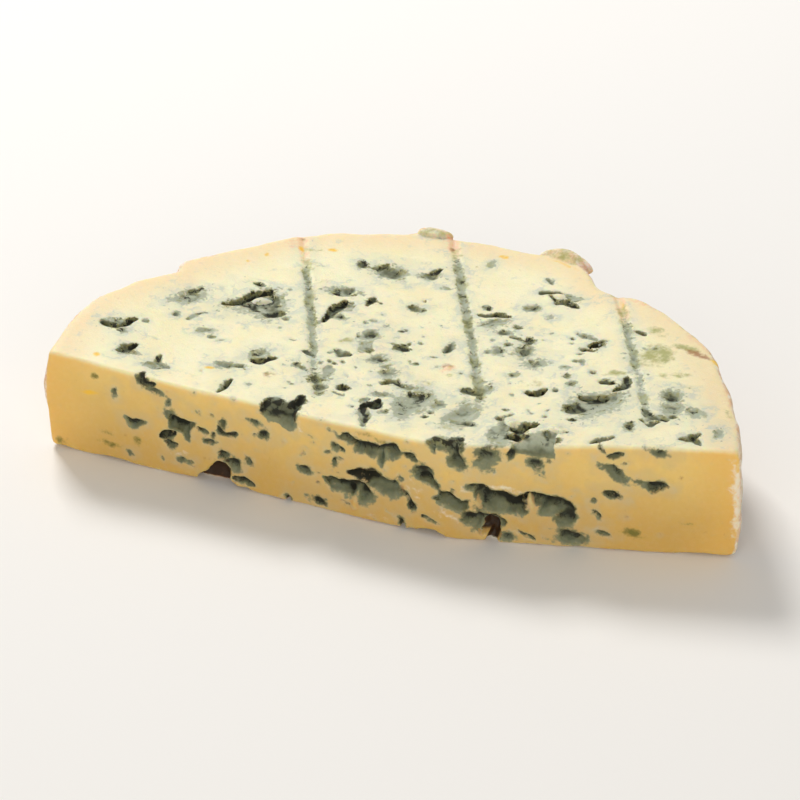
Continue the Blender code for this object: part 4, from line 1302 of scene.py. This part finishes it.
def cheese_piece(grown):
    """The cheese's surface as a mesh that carries its fields."""
    points, faces = skin(grown.field, grown.axes)
    places = (points + (WHEEL_X, WHEEL_Y, 0)) * MM
    piece = bpy.data.objects.new("cheese", mesh_from("cheese", places, faces))
    bpy.context.collection.objects.link(piece)

    # The rind is thinned out first, and then all of it as far as it has to be.
    rind = np.minimum(read_field(grown.rim, grown.axes, points), points[:, 2]) < RIND_EDGE
    thin_out(piece, len(faces) * 2 - RIND_SAVED * 2 * np.count_nonzero(rind), rind)
    thin_out(piece, MOST_TRIANGLES)
    piece.data.shade_smooth()

    # What grows at each of the points that are left.
    flat = np.empty(len(piece.data.vertices) * 3, np.float32)
    piece.data.vertices.foreach_get("co", flat)
    points = flat.reshape(-1, 3) / MM - (WHEEL_X, WHEEL_Y, 0)
    for name, field in surface_fields(grown).items():
        made = piece.data.attributes.new(name, "FLOAT", "POINT")
        values = read_field(field, grown.axes, points)
        made.data.foreach_set("value", values.astype(np.float32))
    return piece


cheese = cheese_piece(grow_cheese())
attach(cheese, "root")
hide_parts(NODE)


class Shading:
    """Adds nodes to a material's or a group's tree. A socket, a number or a colour can go in."""

    def __init__(self, tree):
        self.tree = tree

    def node(self, kind, settings=(), **inputs):
        """A node of that kind, with its settings made and its inputs fed by name."""
        made = self.tree.nodes.new("ShaderNode" + kind)
        for name, value in dict(settings).items():
            setattr(made, name, value)
        for name, value in inputs.items():
            self.feed(made.inputs[name.replace("_", " ")], value)
        return made

    def feed(self, socket, value):
        if isinstance(value, bpy.types.NodeSocket):
            self.tree.links.new(value, socket)
        else:
            socket.default_value = value

    def math(self, operation, *values):
        made = self.node("Math", {"operation": operation})
        for socket, value in zip(made.inputs, values):
            self.feed(socket, value)
        return made.outputs[0]

    def add(self, one, other):
        return self.math("ADD", one, other)

    def times(self, one, other):
        return self.math("MULTIPLY", one, other)

    def times_add(self, one, other, extra):
        return self.math("MULTIPLY_ADD", one, other, extra)

    def mix(self, share, one, other):
        """Two colours, all of one at share 0 and all of the other at share 1."""
        made = self.node("Mix", {"data_type": "RGBA"})
        for index, value in ((0, share), (6, one), (7, other)):
            self.feed(made.inputs[index], value)
        return made.outputs[2]

    def mix_values(self, share, one, other):
        made = self.node("Mix", {"data_type": "FLOAT"})
        for index, value in ((0, share), (2, one), (3, other)):
            self.feed(made.inputs[index], value)
        return made.outputs[0]

    def ramp(self, value, low, high, bottom=0.0, top=1.0):
        """bottom below low, top above high, and eased between."""
        made = self.node("MapRange", {"interpolation_type": "SMOOTHSTEP"})
        for index, each in enumerate((value, low, high, bottom, top)):
            self.feed(made.inputs[index], each)
        return made.outputs[0]

    def noise(self, place, size, detail=2.0, rough=0.5, twist=0.0):
        """Cloudy values round 0.5, in blotches about size millimetres across."""
        made = self.node("TexNoise", Vector=place, Scale=1 / size, Detail=detail)
        made.inputs["Roughness"].default_value = rough
        made.inputs["Distortion"].default_value = twist
        return made.outputs["Fac"]

    def grown(self, name):
        """A field that the mesh carries."""
        return self.node("Attribute", {"attribute_name": name}).outputs["Fac"]

    def millimetres(self):
        """The place on the piece, in millimetres."""
        place = self.node("TexCoord").outputs["Object"]
        made = self.node("VectorMath", {"operation": "SCALE"}, Vector=place, Scale=1 / MM)
        return made.outputs["Vector"]


def look_group(name, inputs, outputs, make):
    """A node group with a place and values in, and a colour and values out."""
    tree = bpy.data.node_groups.new(name, "ShaderNodeTree")
    kinds = {"Place": "NodeSocketVector", "Colour": "NodeSocketColor"}
    for way, names in (("INPUT", ("Place", *inputs)), ("OUTPUT", ("Colour", *outputs))):
        for each in names:
            kind = kinds.get(each, "NodeSocketFloat")
            tree.interface.new_socket(each, in_out=way, socket_type=kind)
    shading = Shading(tree)
    given = tree.nodes.new("NodeGroupInput").outputs
    results = make(shading, *[given[each] for each in ("Place", *inputs)])
    made = tree.nodes.new("NodeGroupOutput")
    for socket, value in zip(made.inputs, results):
        shading.feed(socket, value)
    return tree


# The paste, on top and on the cut faces: the cut faces' gold is partly painted warm bounce light, and
# darker lower down with painted shade.
IVORY = (0.89, 0.84, 0.565, 1)
BUTTER = (0.88, 0.80, 0.50, 1)
CREAM = (1, 0.96, 0.8, 1)
PEACH = (0.86, 0.70, 0.415, 1)
GOLDEN = (0.80, 0.565, 0.17, 1)
SHADED_GOLD = (0.63, 0.39, 0.088, 1)
RICH_GOLD = (0.80, 0.49, 0.105, 1)

# The mould, the haze round it, and the painted shade that darkens deep hollows.
PALE_MOULD = (0.44, 0.47, 0.35, 1)
# The pale mould on the cut faces: a darker copy, painted shade.
SHADED_PALE_MOULD = (0.25, 0.265, 0.16, 1)
MID_MOULD = (0.15, 0.163, 0.098, 1)
DARK_MOULD = (0.024, 0.024, 0.015, 1)
OLIVE_MOULD = (0.33, 0.32, 0.12, 1)
HAZE = (0.64, 0.68, 0.52, 1)
DULL_GOLD = (0.56, 0.46, 0.27, 1)
SLATE = (0.50, 0.56, 0.50, 1)
PAINTED_HOLLOW_SHADE = (0.035, 0.013, 0.005, 1)
MOULD_ROUGHNESS = 0.86

# The stains.
OLIVE = (0.42, 0.415, 0.16, 1)
DEEP_OLIVE = (0.22, 0.19, 0.04, 1)
AMBER = (0.88, 0.55, 0.03, 1)
RUST = (0.36, 0.15, 0.05, 1)
BLUSH = (0.84, 0.55, 0.33, 1)

# The rind.
CRUST = (0.74, 0.56, 0.36, 1)
CRUST_PINK = (0.68, 0.42, 0.26, 1)
BLOOM = (0.84, 0.78, 0.66, 1)
BROWN = (0.33, 0.19, 0.08, 1)
RIND_ROUGHNESS = 0.8

# How much light the cheese lets in, how far in each colour of it gets, how shiny the cheese is,
# and how strong and high its finest bumps are.
SUBSURFACE = 0.8
SUBSURFACE_COLOURS = (1.0, 0.62, 0.28)
SUBSURFACE_REACH = 4.0
SHINE = 0.27
BUMP_STRENGTH = 0.3
BUMP_HEIGHT = 0.25


def paste_look(shading, place, rim, front, height):
    """Smooth ivory paste: peachy towards the rind, golden on the cut faces with partly painted warm
    bounce light, and deeper lower down with painted shade.
    """
    broad = shading.noise(place, 16, 3, 0.55)
    fine = shading.noise(place, 1.6, 4, 0.6)
    inward = shading.add(rim, shading.times(broad, 9))
    colour = shading.mix(shading.ramp(broad, 0.38, 0.66), IVORY, BUTTER)
    colour = shading.mix(shading.ramp(inward, 7, 20, 0.85, 0), colour, PEACH)

    # The cut faces' gold, partly painted warm bounce light, made darker lower down with painted
    # shade.
    level = shading.times_add(broad, -16, shading.add(height, 8))
    golden = shading.mix(shading.ramp(level, 4, 34), SHADED_GOLD, GOLDEN)
    golden = shading.mix(shading.ramp(inward, 6, 24, 0.7, 0), golden, RICH_GOLD)
    colour = shading.mix(shading.times(front, 0.94), colour, golden)

    pale = shading.ramp(fine, 0.4, 0.75, 0, shading.ramp(front, 0, 1, 0.12, 0.04))
    colour = shading.mix(pale, colour, CREAM)
    lumps = shading.add(fine, shading.noise(place, 0.5, 2))
    return colour, shading.ramp(fine, 0.3, 0.7, 0.42, 0.56), lumps


def mould_look(shading, place, tone, core, depth, front):
    """Mould: smooth grey-green, with nearly black spots where tone is high, paler at its edge, and
    darker with painted shade where it lies deep and on the cut faces.
    """
    cloud = shading.noise(place, 3.2, 2, 0.5)
    spots = shading.noise(place, 2.1, 1, 0.4)
    fur = shading.noise(place, 0.7, 3, 0.6)

    # From pale to middling: darker with its tone, with painted shade where it lies deep and on the
    # cut faces, and with its distance from the edge.
    shade = shading.times_add(cloud, 1.8, shading.times_add(tone, 1.1, -1.0))
    shade = shading.add(shade, shading.ramp(depth, 0.8, 6, 0, 0.35))
    shade = shading.add(shade, shading.ramp(core, 0, 0.6, -0.3, 0))
    shade = shading.add(shade, shading.ramp(front, 0, 1, -0.22, 0.05))
    pale = shading.mix(front, PALE_MOULD, SHADED_PALE_MOULD)
    colour = shading.mix(shading.ramp(shade, -0.15, 0.55), pale, MID_MOULD)
    colour = shading.mix(shading.ramp(fur, 0.35, 0.7, 0, 0.1), colour, DARK_MOULD)

    # How dark: spots on top, and steadier on the cut faces, with more painted shade there and where
    # it lies deep.
    spots = shading.times_add(spots, 1.5, -0.27)
    steady = shading.mix_values(shading.times(front, 0.75), spots, 0.5)
    rim = shading.ramp(core, 0, 0.55, -0.1, 0.03)
    reach = shading.ramp(front, 0, 1, 0.4, 0.56)
    dark = shading.times_add(tone, reach, shading.add(steady, rim))
    dark = shading.add(dark, shading.ramp(depth, 1.4, 5, 0, 0.34))

    # An olive fringe round the dark, fine cracks through the rest, and then the dark itself.
    fringe = shading.times(shading.ramp(dark, 0.55, 0.75), shading.ramp(core, 0.1, 0.6, 0.6, 0))
    fringe = shading.times(fringe, shading.ramp(front, 0, 1, 1, 0.3))
    colour = shading.mix(fringe, colour, OLIVE_MOULD)
    swirl = shading.noise(place, 3.4, 3, 0.6, 0.5)
    crack = shading.math("ABSOLUTE", shading.add(swirl, -0.5))
    crack = shading.ramp(crack, 0.005, 0.04, shading.ramp(tone, 0.02, 0.4, 0.1, 0.22), 0)
    dark = shading.add(dark, shading.times(crack, shading.ramp(front, 0, 1, 1, 0.5)))
    colour = shading.mix(shading.ramp(dark, 0.76, 1.08, 0, 0.96), colour, DARK_MOULD)
    return colour, shading.times(fur, 0.6)


def rind_look(shading, place):
    """Rind: a thin tan and pink crust under a patchy white bloom, with fine brown specks."""
    broad = shading.noise(place, 9, 4, 0.6)
    blotch = shading.noise(place, 4, 5, 0.65, 0.6)
    fine = shading.noise(place, 0.9, 4, 0.65)
    colour = shading.mix(shading.ramp(broad, 0.4, 0.62), CRUST, CRUST_PINK)
    colour = shading.mix(shading.ramp(blotch, 0.42, 0.6, 0, 0.85), colour, BLOOM)
    colour = shading.mix(shading.ramp(fine, 0.55, 0.75, 0, 0.35), colour, BROWN)
    return colour, shading.times_add(blotch, 2.5, fine)


def smear_look(shading, place, dust, front):
    """Faint blue-grey wisps and soft flecks of mould in the paste, most where it grew most."""
    swirl = shading.noise(place, 6, 3, 0.6)
    line = shading.math("ABSOLUTE", shading.add(swirl, -0.5))
    breaks = shading.noise(place, 3, 2, 0.5)
    near = shading.times_add(front, -0.2, shading.times_add(dust, 0.22, breaks))
    wisp = shading.times(shading.ramp(line, 0, 0.05, 0.45, 0), shading.ramp(near, 0.56, 0.74))
    flecks = shading.noise(place, 1.3, 2, 0.55)
    flecks = shading.times_add(front, -0.2, shading.times_add(dust, 0.13, flecks))
    fleck = shading.ramp(flecks, 0.74, 0.84, 0, 0.6)
    colour = shading.mix(shading.ramp(flecks, 0.78, 0.86), SLATE, MID_MOULD)
    return colour, shading.math("MAXIMUM", wisp, fleck)


def hazy(shading, place, fields, torn, colour):
    """The paste's colour under a haze close round the mould and a patchy veil further out."""
    haze = shading.ramp(shading.times_add(torn, 0.8, fields["mould"]), 0, 0.6, 0, 0.36)
    dust = shading.add(fields["dust"], -0.8)
    cloud = shading.times_add(shading.noise(place, 5, 3, 0.6), 1.6, dust)
    haze = shading.math("MAXIMUM", haze, shading.ramp(cloud, 0.1, 0.8, 0, 0.32))
    colour = shading.mix(haze, colour, shading.mix(fields["front"], HAZE, DULL_GOLD))
    veil = shading.times_add(shading.noise(place, 3, 2, 0.5, 0.4), 1.6, dust)
    veil = shading.ramp(veil, 0.66, 1.05, 0, 0.42)
    veil = shading.times(veil, shading.ramp(fields["front"], 0, 1, 1, 0.35))
    return shading.mix(veil, colour, SLATE)


def stained(shading, fields, torn, colour):
    """The paste's colour with its slate, blush and bloom stains, which have torn edges."""
    for kind, tearing, low, high, most, stain in (
        ("slate", 1, 0.4, 1.3, 0.5, SLATE),
        ("blush", 0.7, 0.3, 1.1, 0.85, BLUSH),
        ("bloom", 1, 0.35, 1.1, 0.85, BLOOM),
    ):
        amount = shading.times_add(torn, tearing, fields[kind])
        colour = shading.mix(shading.ramp(amount, low, high, 0, most), colour, stain)
    return colour


def tinted(shading, place, fields, inside, colour):
    """The colour of it all with olive, amber and rust on it, fainter where mould covers it."""
    bare = shading.ramp(inside, 0, 1, 1, 0.4)
    mottle = shading.times_add(shading.noise(place, 2.6, 4, 0.65), 2.4, -1.2)
    olive = shading.ramp(shading.add(fields["olive"], mottle), 0.2, 1.2)
    olive = shading.times(olive, shading.ramp(fields["olive"], 0, 0.4))
    tint = shading.mix(fields["front"], OLIVE, DEEP_OLIVE)
    amber = shading.ramp(fields["amber"], 0.2, 0.9, 0, 0.9)
    rust = shading.ramp(shading.add(fields["rust"], mottle), 0.3, 1.2, 0, 0.8)
    for amount, stain in ((olive, tint), (amber, AMBER), (rust, RUST)):
        colour = shading.mix(shading.times(amount, bare), colour, stain)
    return colour


def cheese_material():
    material = bpy.data.materials.new("blue_cheese")
    material.use_nodes = True
    shading = Shading(material.node_tree)
    shader = material.node_tree.nodes["Principled BSDF"]
    place = shading.millimetres()
    fields = {name: shading.grown(name) for name in (*FIELDS, "body", "rim", "front")}
    tone, core, front = (fields[each] for each in ("tone", "core", "front"))
    up = shading.node("SeparateXYZ", Vector=place).outputs["Z"]

    def look(name, make, outputs, **values):
        """Places a look's group with the values given, and gives what it puts out."""
        names = [each.capitalize() for each in values]
        group = look_group(name, names, outputs, make)
        made = shading.node("Group", {"node_tree": group})
        for socket, value in zip(made.inputs, (place, *values.values())):
            shading.feed(socket, value)
        return made.outputs

    paste = look(
        "paste", paste_look, ("Roughness", "Height"), rim=fields["rim"], front=front, height=up
    )
    mould = look(
        "mould", mould_look, ("Height",), tone=tone, core=core, depth=fields["body"], front=front
    )
    rind = look("rind", rind_look, ("Height",))
    smears = look("smears", smear_look, ("Amount",), dust=fields["dust"], front=front)

    # How the edge of everything grown is torn, and how far the mould covers the paste.
    tear = shading.noise(place, 1.4, 2, 0.55, 0.3)
    torn = shading.times(shading.add(tear, -0.5), shading.ramp(front, 0, 1, 2.1, 1.3))
    kept = shading.times(core, fields["mould"])
    growth = shading.times_add(kept, 1.2, shading.add(fields["mould"], torn))
    inside = shading.ramp(growth, 0.46, 0.96)

    # The paste, darkened with painted shade in deep hollows, then the mould, the rind and the tints
    # over all of them.
    colour = hazy(shading, place, fields, torn, paste["Colour"])
    colour = stained(shading, fields, torn, colour)
    colour = shading.mix(smears["Amount"], colour, smears["Colour"])
    # Painted shade: near black brown deep in hollows, well inside their outlines.
    hollow_shade = shading.ramp(fields["body"], 0.6, 2.4, 0, 0.98)
    hollow_shade = shading.times(hollow_shade, shading.ramp(core, 0.05, 0.35))
    colour = shading.mix(hollow_shade, colour, PAINTED_HOLLOW_SHADE)
    colour = shading.mix(inside, colour, mould["Colour"])
    crust = shading.times_add(torn, 0.5, shading.math("MINIMUM", fields["rim"], up))
    crust = shading.ramp(crust, 0.2, 0.9, 1, 0)
    colour = shading.mix(crust, colour, rind["Colour"])
    colour = tinted(shading, place, fields, inside, colour)
    shading.feed(shader.inputs["Base Color"], colour)

    roughness = shading.mix_values(inside, paste["Roughness"], MOULD_ROUGHNESS)
    roughness = shading.mix_values(crust, roughness, RIND_ROUGHNESS)
    shading.feed(shader.inputs["Roughness"], roughness)
    height = shading.mix_values(inside, paste["Height"], mould["Height"])
    height = shading.mix_values(crust, height, rind["Height"])
    bump = shading.node("Bump", Height=height, Strength=BUMP_STRENGTH, Distance=BUMP_HEIGHT * MM)
    shading.feed(shader.inputs["Normal"], bump.outputs["Normal"])
    shader.inputs["Subsurface Weight"].default_value = SUBSURFACE
    shader.inputs["Subsurface Radius"].default_value = SUBSURFACE_COLOURS
    shader.inputs["Subsurface Scale"].default_value = SUBSURFACE_REACH * MM
    shader.inputs["Specular IOR Level"].default_value = SHINE
    return material


cheese.data.materials.clear()
cheese.data.materials.append(cheese_material())

# The floor, with its size in metres.
FLOOR_SIZE = 6
FLOOR_COLOUR = (0.90, 0.885, 0.86, 1)
FLOOR_ROUGHNESS = 0.8


def add_floor():
    bpy.ops.mesh.primitive_plane_add(size=FLOOR_SIZE)
    floor = bpy.context.object
    floor.name = "floor"
    material = bpy.data.materials.new("floor")
    material.use_nodes = True
    shader = material.node_tree.nodes["Principled BSDF"]
    shader.inputs["Base Color"].default_value = FLOOR_COLOUR
    shader.inputs["Roughness"].default_value = FLOOR_ROUGHNESS
    floor.data.materials.append(material)


add_floor()

# The camera: where it stands and what it looks at, by the wheel, its sensor, its lens and, in
# metres, how far it sees.
CAMERA_PLACE = in_part(404.4, -1372.4, 996.1)
CAMERA_TARGET = in_part(-2.8, 38.4, 14.0)
SENSOR = 36.0
LENS = 279.0
SIGHT = 20


def aim(made, place):
    """Stands a camera or a lamp at a place, looking at the camera's target."""
    made.location = place
    made.rotation_mode = "QUATERNION"
    made.rotation_quaternion = (CAMERA_TARGET - place).to_track_quat("-Z", "Y")
    bpy.context.collection.objects.link(made)


def add_camera():
    data = bpy.data.cameras.new("camera")
    data.sensor_width = SENSOR
    data.lens = LENS
    data.clip_end = SIGHT
    made = bpy.data.objects.new("camera", data)
    aim(made, CAMERA_PLACE)
    bpy.context.scene.camera = made


add_camera()

# The studio's lamps, which look where the camera does: place by the wheel, width, power and colour.
LAMPS = {
    "key": ((-700, 900, 1100), 450, 17.0, (1.0, 0.98, 0.95)),
    "fill": ((300, -1300, 450), 1200, 9.0, (1.0, 0.94, 0.84)),
}
SKY_COLOUR = (1, 1, 1, 1)
SKY_STRENGTH = 0.42


def add_lamp(name, place, width, power, colour):
    data = bpy.data.lights.new(name, "AREA")
    data.size = width * MM
    data.energy = power
    data.color = colour
    aim(bpy.data.objects.new(name, data), in_part(*place))


def add_sky():
    world = bpy.data.worlds.new("studio")
    world.use_nodes = True
    background = world.node_tree.nodes["Background"]
    background.inputs["Color"].default_value = SKY_COLOUR
    background.inputs["Strength"].default_value = SKY_STRENGTH
    bpy.context.scene.world = world


for name, values in LAMPS.items():
    add_lamp(name, *values)
add_sky()
bpy.context.scene.view_settings.view_transform = "Standard"
